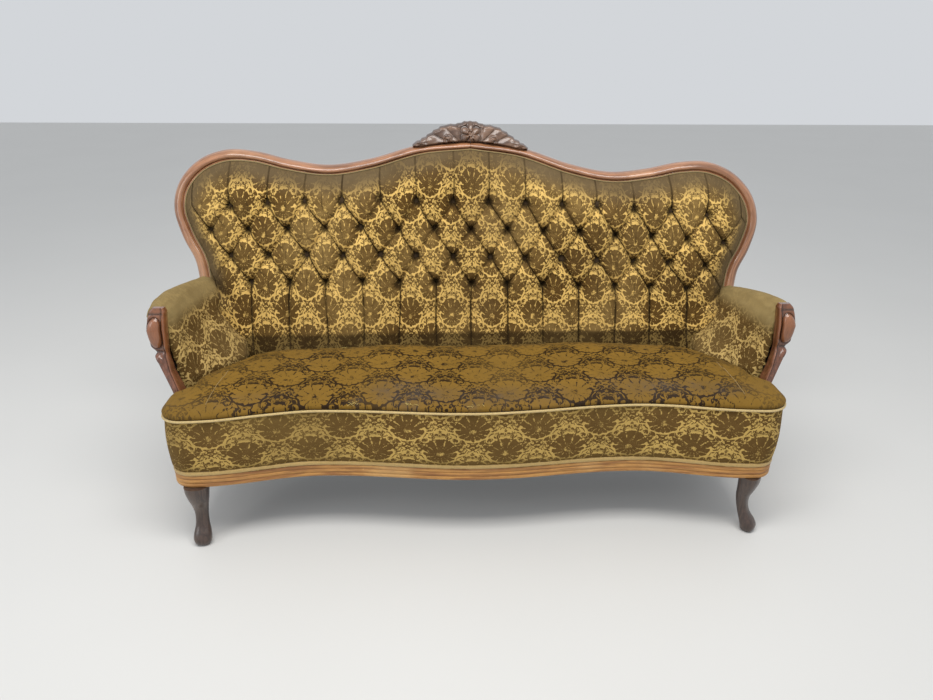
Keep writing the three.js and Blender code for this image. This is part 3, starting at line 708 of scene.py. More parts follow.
def button_places():
    dice = np.random.default_rng(3)
    for row in (1, 2, 3, 4):
        count = {1: 14, 2: 15, 3: 14, 4: 13}[row]
        for i in range(count):
            column = i - (count - 1) / 2
            x = column * BUTTON_PITCH * (1 + 0.0003 * column**2)
            z = row_height(row, x)
            dx, dz = dice.normal(0, 0.0022, 2)
            yield row, column, x + dx, z + dz


def pad_outline():
    middle, outward, half, run = frame_path(260)
    inner = middle - outward * (half + 0.0016)[:, None]
    inner = inner[run <= 0.90 * run[-1]][::-1]
    right = np.concatenate([np.array(PAD_FOOT), inner])
    whole = np.concatenate([right, (right[:-1] * [-1, 1])[::-1]])
    bottom = np.stack([np.linspace(-0.6, 0.6, 120)[1:-1], np.full(118, PAD_FOOT[0][1])], -1)
    return np.concatenate([whole, bottom])


def edge_distance(x, z, outline):
    """Distance to the outline, and the nearest point on it, for many points at once."""
    a = outline
    b = np.roll(outline, -1, axis=0)
    best = np.full(x.shape, 9.0)
    near_x, near_z = x.copy(), z.copy()
    for (ax, az), (bx, bz) in zip(a, b):
        dx, dz = bx - ax, bz - az
        t = clamp01(((x - ax) * dx + (z - az) * dz) / (dx * dx + dz * dz + 1e-12))
        px, pz = ax + t * dx, az + t * dz
        d = np.hypot(x - px, z - pz)
        closer = d < best
        best = np.where(closer, d, best)
        near_x = np.where(closer, px, near_x)
        near_z = np.where(closer, pz, near_z)
    return best, near_x, near_z


def inside(x, z, outline):
    a = outline
    b = np.roll(outline, -1, axis=0)
    hits = np.zeros(x.shape, int)
    for (ax, az), (bx, bz) in zip(a, b):
        crosses = (az > z) != (bz > z)
        at = ax + (z - az) / (bz - az if bz != az else 1e-12) * (bx - ax)
        hits += crosses & (x < at)
    return hits % 2 == 1


def lattice(x, z):
    """Two slanting coordinates that are whole numbers along the folds, and the row of buttons."""
    warp_x = x + 0.004 * wobble(x, z, 0.22, 11)
    warp_z = z + 0.003 * wobble(x, z, 0.25, 12)
    top = row_height(1, warp_x)
    low = row_height(4, warp_x)
    row = 1 + 3 * (top - warp_z) / (top - low)
    column = warp_x / (BUTTON_PITCH * (1 + 0.0003 * (warp_x / BUTTON_PITCH) ** 2))
    slant = (np.clip(row, 1, 4) - 2) / 2
    return column + slant, column - slant, row, column


def tufting(x, z, edge):
    """How far the buttoned face lies behind the tops of its puffs, in metres."""
    a, b, row, column = lattice(x, z)
    lean_a = a + 0.030 * np.cos(2 * np.pi * a)
    fold_a = np.abs(np.sin(np.pi * lean_a))
    fold_b = np.abs(np.sin(np.pi * b))
    between = (row > 1) & (row < 4)
    puff = np.sqrt(np.clip(fold_a * fold_b, 0, None))
    near_a = np.abs(a - np.round(a)) * BUTTON_PITCH * 0.84
    near_b = np.abs(b - np.round(b)) * BUTTON_PITCH * 0.84
    pleat = np.abs(column - np.round(column - 0.5) - 0.5) * BUTTON_PITCH
    pleat = np.where(row >= 4, np.abs(column - np.round(column)) * BUTTON_PITCH, pleat)
    crease = np.where(
        between,
        np.exp(-near_a / 0.0036) + np.exp(-near_b / 0.0036),
        np.exp(-pleat / 0.0036) * 1.2,
    )
    up = np.where(row < 1, 1 - 0.80 * smooth((1 - row) / 1.25), 1.0)
    down = np.where(row > 4, 1 - 0.25 * smooth((row - 4) / 2.0), 1.0)
    strength = up * down * ramp(0.004, 0.060, edge)
    depth = (0.0125 * (1 - puff) + 0.0070 * crease) * strength
    for button_row, button_column, bx, bz in button_places():
        d = np.hypot(x - bx, z - bz)
        lost = (button_row, button_column) in LOST
        pit = 0.010 if lost else 0.020
        near = d < 0.09
        spokes = 1 + 0.22 * np.cos(8 * np.arctan2(z - bz, x - bx) + bx * 60) * np.exp(-d / 0.030)
        depth = depth + np.where(near, pit * np.exp(-((d / 0.0125) ** 1.5)) * spokes, 0)
        ray = np.cos(11 * np.arctan2(z - bz, x - bx) + bz * 90)
        depth = depth + np.where(near, 0.0011 * ray * np.exp(-(((d - 0.024) / 0.014) ** 2)), 0)
    # The second value marks the creases for painted shade.
    return depth, clamp01(crease) * strength


def back_surface(x, z, outline):
    """How far the cloth stands before the face of the back, everywhere inside the outline."""
    edge, _, _ = edge_distance(x, z, outline)
    swell = 1 - (1 - clamp01(edge / 0.105)) ** 2.3
    low = 1 - ramp(0.49, 0.56, z)
    swell = np.maximum(swell, low)
    stand = 0.004 + (PAD_PROUD - 0.004) * swell
    uneven = 0.0018 * wobble(x, z, 0.30, 21)
    depth, crease = tufting(x, z, edge)
    cloth_stand = np.maximum(stand - depth * np.maximum(swell, 0.3) + uneven * swell, 0.002)
    # The third value is the mask of painted shade in the creases and deep pits.
    return cloth_stand, edge, clamp01(crease**1.5 * 0.75 + (depth - 0.024) / 0.014)


def nearest_button(x, z):
    """The way from each point to the button nearest to it."""
    places = np.array([place[2:] for place in button_places()])
    away = np.stack([x[:, None] - places[:, 0], z[:, None] - places[:, 1]], -1)
    best = np.argmin(np.hypot(away[..., 0], away[..., 1]), axis=1)
    return away[np.arange(len(x)), best]


def build_back():
    outline = pad_outline()
    cell = 0.0036
    xs = np.arange(-0.86, 0.86, cell)
    zs = np.arange(0.35, 0.935, cell)
    gx, gz = np.meshgrid(xs, zs)
    middle_x = (gx[:-1, :-1] + gx[1:, 1:]) / 2
    middle_z = (gz[:-1, :-1] + gz[1:, 1:]) / 2
    keep = inside(middle_x, middle_z, outline)
    index = np.arange(gx.size).reshape(gx.shape)
    quads = np.stack([index[:-1, :-1], index[:-1, 1:], index[1:, 1:], index[1:, :-1]], -1)[keep]
    used, flat = np.unique(quads, return_inverse=True)
    quads = flat.reshape(-1, 4)
    x, z = gx.ravel()[used], gz.ravel()[used]
    sides = np.sort(np.concatenate([quads[:, [i, (i + 1) % 4]] for i in range(4)]), axis=1)
    pairs, times = np.unique(sides, axis=0, return_counts=True)
    rim = np.unique(pairs[times == 1])
    _, near_x, near_z = edge_distance(x[rim], z[rim], outline)
    x[rim], z[rim] = near_x, near_z
    stand, edge, crease_shade = back_surface(x, z, outline)
    front = back_point(x, z, -stand)
    behind = back_point(x[rim], z[rim], PAD_BACK)
    place = {v: len(x) + i for i, v in enumerate(rim)}
    walls = []
    directed = np.concatenate([quads[:, [i, (i + 1) % 4]] for i in range(4)])
    loose = {tuple(p) for p in pairs[times == 1].tolist()}
    for p, q in directed.tolist():
        if (min(p, q), max(p, q)) in loose:
            walls.append([q, p, place[p], place[q]])
    verts = np.concatenate([front, behind])
    obj = piece("back_upholstery", verts, quads.tolist() + walls, ["back_pad"])
    shade(obj, 80)
    wide = np.concatenate([x, x[rim]])
    tall = np.concatenate([z, z[rim]])
    margin = np.concatenate([edge, np.zeros(len(rim))])
    crown = ramp(0.80, 0.93, tall) * 0.42
    border = (1 - ramp(0.008, 0.072, margin)) * 0.88
    upper = ramp(0.45, 0.60, tall)
    fade = clamp01(np.maximum(crown, border * upper) + 0.10 * wobble(wide, tall, 0.3, 5))
    rub = clamp01(0.10 + 0.14 * wobble(wide, tall, 0.35, 6)) * (1 - border * upper)
    # Painted shade on the pad's side walls, in its creases and pits, and in a strip where the back meets the
    # seat.
    crease_shade = np.concatenate([crease_shade, np.full(len(rim), 0.8)])
    seat_line = 0.417 + SEAT_LEAN * wide
    crease_shade = np.maximum(crease_shade, 0.9 * (1 - ramp(0.004, 0.016, tall - seat_line)))
    lay_cloth(obj, wide * REPEAT_U / 0.1217, tall * 1.117 + 0.0293, fade * 0.9, rub, crease_shade * 0.85)
    slant_a, slant_b, row, _ = lattice(wide, tall)
    store(obj, "tuft", np.stack([slant_a, slant_b, row], -1))
    away = nearest_button(wide, tall)
    store(obj, "button", np.stack([away[:, 0], away[:, 1], np.zeros(len(wide))], -1))
    back_velvet.on(obj)
    return outline


def build_buttons(outline):
    turns = 20
    rings = [(0.0, 0.0046), (0.35, 0.0044), (0.68, 0.0036), (0.90, 0.0020), (1.0, 0.0), (0.97, -0.0030)]
    verts, faces = [], []
    dice = np.random.default_rng(9)
    for row, column, bx, bz in button_places():
        if (row, column) in LOST:
            continue
        stand, _, _ = back_surface(np.array([bx]), np.array([bz]), outline)
        base = -(stand[0] + 0.0022)
        radius = 0.0096 + dice.normal(0, 0.0003)
        tip_x, tip_z = dice.normal(0, 0.10, 2)
        start = len(verts)
        for share, height in rings:
            for i in range(turns):
                angle = 2 * np.pi * i / turns
                px = radius * max(share, 0.02) * np.cos(angle)
                pz = radius * max(share, 0.02) * np.sin(angle)
                off = base - height + px * tip_x + pz * tip_z
                verts.append(back_point(bx + px, bz + pz, off).tolist())
        faces += grid_faces(len(rings), turns, around=True, start=start)
        faces.append([start + i for i in range(turns)])
    obj = piece("back_buttons", verts, faces, ())
    face_out(obj)
    shade(obj, 60)
    button_velvet.on(obj)


def build_welt():
    """The thin rolled edge where the back's cloth meets the show frame."""
    middle, outward, half, run = frame_path(420)
    line = middle - outward * (half + 0.0006)[:, None]
    line = line[run <= 0.95 * run[-1]]
    line = np.concatenate([(line * [-1, 1])[::-1], line[1:]])
    along = np.gradient(line, axis=0)
    along /= np.linalg.norm(along, axis=1, keepdims=True)
    side = np.stack([-along[:, 1], along[:, 0]], -1)
    ca, cb = circle(0.0017, 8)
    rings = []
    for p, s in zip(line, side):
        rings.append(back_point(p[0] + s[0] * ca, p[1] + s[1] * ca, -0.0058 + cb))
    obj = tube("back_edge_welt", np.array(rings), ())
    shade(obj, 80)
    welt_yarn.on(obj)


# ---- the show frame -----------------------------------------------------------------------------


def build_frame():
    """The rail's section, from its inner edge round the front to its outer edge and back: a small
    bead, a groove, then one broad polished roll."""
    count = 240
    middle, outward, half, run = frame_path(count)
    bead = np.array(
        [
            (-0.90, 0.025), (-1.0, 0.010), (-1.0, -0.001), (-0.985, -0.0042), (-0.93, -0.0060),
            (-0.87, -0.0066), (-0.80, -0.0062), (-0.745, -0.0046), (-0.71, -0.0024), (-0.675, -0.0018),
            (-0.64, -0.0032), (-0.59, -0.0064), (-0.49, -0.0093), (-0.34, -0.0114), (-0.14, -0.0124),
            (0.08, -0.0122), (0.30, -0.0108), (0.50, -0.0084), (0.68, -0.0050), (0.83, -0.0006),
            (0.94, 0.0050), (0.995, 0.0110), (0.98, 0.0170), (0.90, 0.0220), (0.80, 0.025),
        ]
    )
    for side in (-1, 1):
        rings = []
        for p, o, h in zip(middle, outward, half):
            x = np.maximum(p[0] + o[0] * h * bead[:, 0], 0.0003)
            rings.append(back_point(side * x, p[1] + o[1] * h * bead[:, 0], bead[:, 1]))
        name = "left" if side < 0 else "right"
        obj = tube(f"show_frame_{name}", np.array(rings), [f"back_rail_{name}"])
        shade(obj, 50)
        grain = np.zeros((count, len(bead), 3))
        grain[:, :, 0] = run[:, None]
        grain[:, :, 1] = (half[:, None] * bead[None, :, 0]) + 0.4 * side
        grain[:, :, 2] = bead[None, :, 1]
        store(obj, "grain", grain.reshape(-1, 3))
        show_wood.on(obj)


def carve(name, outline, relief, depth_at, stands_for, cell):
    """A carved block: a fine grid inside an outline, raised by a relief, with walls and a flat back."""
    low, high = outline.min(0), outline.max(0)
    gx, gz = np.meshgrid(np.arange(low[0], high[0] + cell, cell), np.arange(low[1], high[1] + cell, cell))
    keep = inside((gx[:-1, :-1] + gx[1:, 1:]) / 2, (gz[:-1, :-1] + gz[1:, 1:]) / 2, outline)
    index = np.arange(gx.size).reshape(gx.shape)
    quads = np.stack([index[:-1, :-1], index[:-1, 1:], index[1:, 1:], index[1:, :-1]], -1)[keep]
    used, flat = np.unique(quads, return_inverse=True)
    quads = flat.reshape(-1, 4)
    x, z = gx.ravel()[used], gz.ravel()[used]
    directed = np.concatenate([quads[:, [i, (i + 1) % 4]] for i in range(4)])
    pairs, times = np.unique(np.sort(directed, axis=1), axis=0, return_counts=True)
    rim = np.unique(pairs[times == 1])
    _, x[rim], z[rim] = edge_distance(x[rim], z[rim], outline)
    front = relief(x, z)
    behind = depth_at(x[rim], z[rim])
    place = {v: len(x) + i for i, v in enumerate(rim)}
    loose = {tuple(p) for p in pairs[times == 1].tolist()}
    walls = [[q, p, place[p], place[q]] for p, q in directed.tolist() if (min(p, q), max(p, q)) in loose]
    follow = {w[2]: w[3] for w in walls}
    start = next(iter(follow))
    loop = [start]
    while follow[loop[-1]] != start:
        loop.append(follow[loop[-1]])
    obj = piece(name, np.concatenate([front, behind]), quads.tolist() + walls + [loop], stands_for)
    face_out(obj)
    return obj


def build_crest():
    """The crest: a flower at the middle, a fluted wing to each side and leaves at the tips."""
    half = np.array(
        [
            (0.0, 0.9505), (0.050, 0.9485), (0.100, 0.9415),
            (0.150, 0.9325), (0.172, 0.9330), (0.173, 0.9375),
            (0.160, 0.9480), (0.150, 0.9500), (0.146, 0.9560),
            (0.133, 0.9600), (0.129, 0.9665), (0.115, 0.9720),
            (0.110, 0.9790), (0.096, 0.9835), (0.090, 0.9900),
            (0.074, 0.9930), (0.060, 0.9975), (0.045, 0.9965),
            (0.037, 1.0000), (0.026, 1.0010), (0.018, 1.0060), (0.008, 1.0050), (0.0, 1.0070),
        ]
    )
    outline = np.concatenate([half, (half[1:-1] * [-1, 1])[::-1]])

    def height(x, z):
        reach = np.abs(x)
        edge, _, _ = edge_distance(x, z, outline)
        rise = 0.0100 + 0.0045 * clamp01(edge / 0.006)
        # wings: flutes that fan out from low behind the flower
        fan = np.arctan2(z - 0.925, reach + 0.004)
        out = np.hypot(reach, z - 0.925)
        flutes = np.abs(np.sin(fan * 9.5 + 0.35 * np.sin(out * 40)))
        wing = ramp(0.030, 0.040, reach) * (1 - ramp(0.120, 0.135, reach))
        rise = rise + wing * (0.0058 * np.sqrt(flutes) - 0.0022)
        # leaves at the tips, with a rib and scalloped sides
        lx, lz = reach - 0.148, z - 0.946
        leaf_r = np.hypot(lx / 0.030, lz / 0.017)
        leaf_turn = np.arctan2(lz, lx)
        leaf = clamp01(1.25 - leaf_r) * (0.75 + 0.25 * np.cos(7 * leaf_turn))
        rib = np.exp(-np.abs(lz + lx * 0.5) / 0.0018)
        rise = rise + ramp(0.112, 0.128, reach) * (0.0090 * leaf - 0.0035 * rib * leaf)
        # curls under the wings
        cx, cz = reach - 0.070, z - 0.957
        curl_r = np.hypot(cx, cz)
        spiral = np.cos(curl_r * 620 - np.arctan2(cz, cx))
        rise = rise + np.exp(-((curl_r / 0.013) ** 4)) * (0.0035 + 0.0028 * spiral)
        # the flower: two rings of petals about a boss
        fx, fz = x, z - 0.972
        r = np.hypot(fx, fz)
        turn = np.arctan2(fz, fx)
        petal_edge = 0.026 + 0.006 * np.abs(np.cos(3 * turn + np.pi / 2))
        inside_flower = smooth((petal_edge - r) / 0.004)
        outer = (
            0.0075
            * np.abs(np.cos(3 * turn + np.pi / 2)) ** 0.6
            * np.sin(clamp01(r / petal_edge) * np.pi) ** 0.7
        )
        inner = 0.0060 * np.abs(np.cos(2.5 * turn)) * np.exp(-(((r - 0.0105) / 0.005) ** 2))
        boss = 0.0070 * np.exp(-((r / 0.0058) ** 4))
        groove = np.exp(-np.abs(r - petal_edge) / 0.0022) * 0.0040
        rise = rise * (1 - inside_flower) + inside_flower * (0.0105 + outer + inner + boss) - groove
        rise = rise + 0.0004 * wobble(x, z, 0.02, 40)
        rise = np.clip(rise, 0.004, 0.0245)
        return rise * (0.35 + 0.65 * clamp01(edge / 0.0035))

    def relief(x, z):
        return back_point(x, z, -height(x, z) + 0.002)

    def depth_at(x, z):
        return back_point(x, z, 0.016)

    cell = 0.0010
    obj = carve("crest", outline, relief, depth_at, ["crest_carving"], cell)
    shade(obj, 70)
    co = coords(obj)
    rise = height(co[:, 0], co[:, 2] + rack(co[:, 0], co[:, 2]))
    # Painted shade in the low parts of the carving.
    store(obj, "hollow", clamp01((0.0165 - rise) / 0.0065) * 0.6)
    crest_wood.on(obj)


# ---- arm posts ----------------------------------------------------------------------------------

ARM_POST = [
    (0.2403, 0.742, 0.771, 0.103, 0.034),
    (0.300, 0.747, 0.776, 0.106, 0.036), (0.345, 0.759, 0.785, 0.113, 0.038),
    (0.392, 0.779, 0.802, 0.124, 0.038), (0.431, 0.797, 0.823, 0.142, 0.030),
    (0.470, 0.806, 0.843, 0.157, 0.022),
    (0.480, 0.807, 0.836, 0.162, 0.018), (0.496, 0.806, 0.849, 0.160, 0.022),
    (0.543, 0.804, 0.855, 0.162, 0.026),
    (0.574, 0.801, 0.848, 0.166, 0.024), (0.590, 0.799, 0.842, 0.168, 0.022),
    (0.600, 0.803, 0.832, 0.171, 0.018),
]


def build_posts():
    """A carved facing: a tapered foot, a curl, a notch, an oval boss and a rolled top."""
    table = np.array(ARM_POST)
    rows = 130
    zs = np.linspace(table[0, 0], table[-1, 0], rows)
    inner, outer, front, deep = (np.interp(zs, table[:, 0], table[:, i]) for i in (1, 2, 3, 4))
    across = 26
    us = np.linspace(0, 1, across)
    for side in (-1, 1):
        rings = []
        hollows = []
        lights = []
        for z, i0, o0, f0, d0 in zip(zs, inner, outer, front, deep):
            width = o0 - i0
            boss_z = (z - 0.533) / 0.040
            boss_u = (us - 0.60) / 0.36
            oval = np.abs(boss_z) ** 2.6 + np.abs(boss_u) ** 2.2
            boss = np.clip(1 - oval, 0, None) ** 0.5 * 0.0105
            moat = np.exp(-(((oval - 1.12) / 0.16) ** 2)) * 0.0030
            bead = np.exp(-(((us - 0.12) / 0.07) ** 2)) * 0.0035
            groove = np.exp(-(((us - 0.25) / 0.035) ** 2)) * 0.0022
            past = np.clip(np.abs(us - 0.5) * 2 - 0.72, 0, 0.28) / 0.28
            round_edge = 0.006 * (1 - np.sqrt(1 - past**2))
            curl_z = (z - 0.462) / 0.012
            curl_u = (us - 0.72) / 0.26
            curl = np.sqrt(np.clip(1 - curl_z**2 - curl_u**2, 0, None)) * 0.0050
            notch = 0.0030 * np.exp(-(((z - 0.482) / 0.004) ** 2)) * ramp(0.3, 0.5, us)
            ridge = 0.0015 * np.exp(-(((us - 0.62) / 0.05) ** 2)) * (1 - ramp(0.43, 0.455, z))
            cap = 0.0028 * np.exp(-(((z - 0.5835) / 0.0030) ** 2)) * ramp(0.1, 0.3, us)
            y = f0 + 0.0055 - boss - bead - curl - ridge + groove + round_edge + notch + moat + cap
            # Painted shade in the groove, notch, moat and cap; painted highlight on the boss and the bead.
            sunk = groove / 0.0022 + notch / 0.0030 + moat / 0.0030 + cap / 0.0028
            hollows.append(np.concatenate([clamp01(sunk) * 0.75, np.zeros(4)]))
            lights.append(np.concatenate([(boss > 0) * 0.40 + 0.35 * (bead > 0.002), np.zeros(4)]))
            face = np.stack([i0 + width * us, y, np.full(across, z)], -1)
            rear = np.array([
                (o0, f0 + d0 * 0.5, z), (o0, f0 + d0, z), (i0, f0 + d0, z), (i0, f0 + d0 * 0.5, z),
            ])
            rings.append(np.concatenate([face, rear]) * [side, 1, 1])
        rings = np.array(rings)
        name = "left" if side < 0 else "right"
        rings = points(rings[..., 0], rings[..., 1], rings[..., 2])
        obj = tube(f"arm_facing_{name}", rings, [f"arm_post_{name}"])
        shade(obj, 55)
        store(obj, "hollow", np.concatenate(hollows))
        store(obj, "lit", np.concatenate(lights))
        post_wood.on(obj)


# ---- seat rails and legs ------------------------------------------------------------------------


def reeded_section():
    """Three half-round reeds, a narrow flat above them, and the rail's hidden faces."""
    pitch = (REEDS_TOP - LEG_TOP) / 3
    face = []
    for reed in range(3):
        for step in range(7):
            angle = np.pi * (step + 0.35) / 7.7
            depth = 0.0036 * (1 - math.sin(angle) ** 0.8)
            face.append((depth, LEG_TOP + pitch * (reed + (1 - math.cos(angle)) / 2)))
    rest = [
        (0.0042, REEDS_TOP), (0.008, REEDS_TOP), (0.008, RAIL_TOP), (0.040, RAIL_TOP), (0.040, 0.178),
        (0.014, 0.178), (0.014, LEG_TOP), (0.005, LEG_TOP),
    ]
    return np.array(face + rest)


def build_seat_rails():
    section = reeded_section()
    line, inward, run = seat_edge(0.062, 300)
    rings = sweep(line, inward, section)
    obj = tube("front_rail_reeded", rings, ["seat_rail_front"])
    shade(obj, 35)
    grain = np.zeros((len(line), len(section), 3))
    grain[:, :, 0] = run[:, None]
    grain[:, :, 1] = section[None, :, 1]
    store(obj, "grain", grain.reshape(-1, 3))
    rail_wood.on(obj)
    for side in (-1, 1):
        ys = np.linspace(0.0623, 0.428, 40)
        rings = np.array([points(side * (HALF_RAIL - section[:, 0]), y, section[:, 1]) for y in ys])
        name = "left" if side < 0 else "right"
        obj = tube(f"side_rail_reeded_{name}", rings, [f"seat_rail_{name}"])
        shade(obj, 35)
        grain = np.zeros((len(ys), len(section), 3))
        grain[:, :, 0] = ys[:, None] + side
        grain[:, :, 1] = section[None, :, 1]
        store(obj, "grain", grain.reshape(-1, 3))
        rail_wood.on(obj)


CABRIOLE = [
    (0.0, 0.019, 0.0150), (0.005, 0.020, 0.0200), (0.017, 0.020, 0.0230), (0.032, 0.014, 0.0220),
    (0.052, 0.002, 0.0175), (0.078, -0.006, 0.0170), (0.102, -0.007, 0.0200), (0.130, -0.002, 0.0260),
    (0.154, 0.001, 0.0300), (0.1717, 0.001, 0.0310),
]


def build_legs():
    path, _ = spline(CABRIOLE, 70)
    turns = np.linspace(0, 2 * np.pi, 40, endpoint=False)
    cos, sin = np.cos(turns), np.sin(turns)
    round_x = np.sign(cos) * np.abs(cos) ** 0.8
    round_y = np.sign(sin) * np.abs(sin) ** 0.8
    for name, x, y, toe in (("left", -0.733, 0.013, 4), ("right", 0.734, 0.021, 46)):
        toe = math.radians(toe)
        tx, ty = math.sin(toe), -math.cos(toe)
        rings = []
        for z, push, half in path:
            along = push + round_x * half * 0.87
            across = round_y * half
            rings.append(points(x + tx * along - ty * across, y + ty * along + tx * across, max(z, 0.0)))
        rings = np.array(rings)
        obj = tube(f"cabriole_leg_{name}", rings, [f"leg_front_{name}"])
        shade(obj, 50)
        leg_wood.on(obj)


# ---- seat ---------------------------------------------------------------------------------------


def lean(x, z):
    return SEAT_LEAN * x * clamp01((z - RAIL_TOP) / (BORDER_TOP - RAIL_TOP))


def build_border():
    count = 520
    line, inward, run = seat_edge(BORDER_END, count)
    heights = np.concatenate([np.linspace(0.2085, 0.2225, 8), np.linspace(0.2262, 0.3695, 44)])
    x = line[:, None, 0]
    s = run[:, None]
    z = heights[None, :] + 0 * s
    share = clamp01((z - 0.223) / (BORDER_TOP - 0.223))
    bulge = 0.0052 * np.sin(np.pi * clamp01(share * 0.92 + 0.06)) ** 0.8
    tuck = 0.0032 * (1 - ramp(0.2225, 0.229, z)) - 0.002 * (1 - ramp(0.2085, 0.2105, z))
    sag = 0.0011 * wobble(s, z * 1.7, 0.16, 31) + 0.0008 * wobble(s, z * 0.4, 0.055, 32) * ramp(0.30, 0.36, z)
    pull = 0.0006 * np.sin(s * 190 + 2 * np.sin(s * 11)) * (1 - ramp(0.225, 0.26, z))
    off = tuck - bulge + sag + pull
    px = x + inward[:, None, 0] * off
    py = line[:, None, 1] + inward[:, None, 1] * off
    front = points(px, py, z + lean(px, z))
    section = np.array([(0.030, 0.3695), (0.034, 0.2403), (0.0077, 0.2403), (0.0077, 0.2085)])
    rear = sweep(line, inward, section)
    rear[..., 2] += lean(rear[..., 0], rear[..., 2])
    rings = np.concatenate([front, rear], axis=1)
    obj = tube("seat_border_cloth", rings, ["seat_border"])
    shade(obj, 60)
    u = np.broadcast_to(s, rings.shape[:2]).ravel()
    v = np.concatenate([z, np.broadcast_to(section[None, :, 1], rear.shape[:2])], axis=1).ravel()
    faded_top = 0.20 * ramp(0.350, 0.37, v) + 0.30 * (1 - ramp(0.225, 0.240, v))
    ends = 0.45 * ramp(0.70, 0.86, np.abs(u))
    patches = 0.10 + 0.22 * wobble(u, v, 0.4, 33)
    lay_cloth(obj, u + 0.015, (v - 0.328) * 1.2, clamp01(faded_top + ends + patches) * 0.8, 0.03)
    border_velvet.on(obj)


def build_trim():
    line, inward, run = seat_edge(BORDER_END, 420)
    face = np.array(
        [(0.0027, 0.2080), (-0.0002, 0.2082), (-0.0010, 0.2100),
         (-0.0014, 0.2130), (-0.0010, 0.2165), (-0.0002, 0.2183), (0.0027, 0.2185)]
    )
    rings = sweep(line, inward, face)
    ripple = 0.0003 * wobble(run, run * 0, 0.03, 35)
    rings[:, 1:-1, 2] += ripple[:, None]
    obj = tube("trim_band_cloth", rings, ["trim_band"])
    shade(obj, 60)
    trim_cloth.on(obj)


def rope(name, line, radius, pitch, strands, stands_for, per_turn=9, around=15):
    """A twisted cord along a line of points: a lobed section that turns as it goes."""
    length = np.linalg.norm(np.diff(line, axis=0), axis=1).sum()
    path, run = resample(line, int(length / pitch * per_turn))
    along = np.gradient(path, axis=0)
    along /= np.linalg.norm(along, axis=1, keepdims=True)
    up = np.array([0.0, 0.0, 1.0])
    side = np.cross(along, up)
    side /= np.linalg.norm(side, axis=1, keepdims=True)
    rise = np.cross(side, along)
    turn = np.linspace(0, 2 * np.pi, around, endpoint=False)
    twist = 2 * np.pi * run / pitch
    lobes = radius * (0.80 + 0.20 * np.abs(np.cos(strands / 2 * (turn[None, :] - twist[:, None]))))
    a = lobes * np.cos(turn)[None, :]
    b = lobes * np.sin(turn)[None, :]
    rings = path[:, None] + side[:, None] * a[..., None] + rise[:, None] * b[..., None]
    obj = tube(name, rings, stands_for)
    return shade(obj, 80)


def build_piping():
    line, inward, run = seat_edge(BORDER_END, 700)
    z = BORDER_TOP + 0.0042 + 0.0004 * wobble(run, run * 0, 0.12, 36)
    centre = line - inward * 0.0032
    path = points(centre[:, 0], centre[:, 1], z + SEAT_LEAN * centre[:, 0])
    obj = rope("seat_piping_cord", path, 0.0034, 0.0085, 3, ["seat_piping"])
    cord_yarn.on(obj)


SEAT_REAR = [
    (0.762, 0.101), (0.752, 0.108), (0.750, 0.168),
    (0.746, 0.190), (0.711, 0.240), (0.676, 0.286), (0.640, 0.332),
    (0.590, 0.366), (0.500, 0.380), (0.250, 0.388), (0.0, 0.390),
]


RUBBED = [
    (-0.21, 0.050, 0.070, 0.8), (-0.31, 0.008, 0.016, 1.1),
    (-0.172, 0.008, 0.020, 1.2), (-0.015, 0.008, 0.020, 1.0),
    (0.05, 0.020, 0.045, 0.5), (0.19, 0.030, 0.060, 0.6),
    (0.36, 0.045, 0.090, 0.5), (-0.37, 0.362, 0.020, 1.0),
]


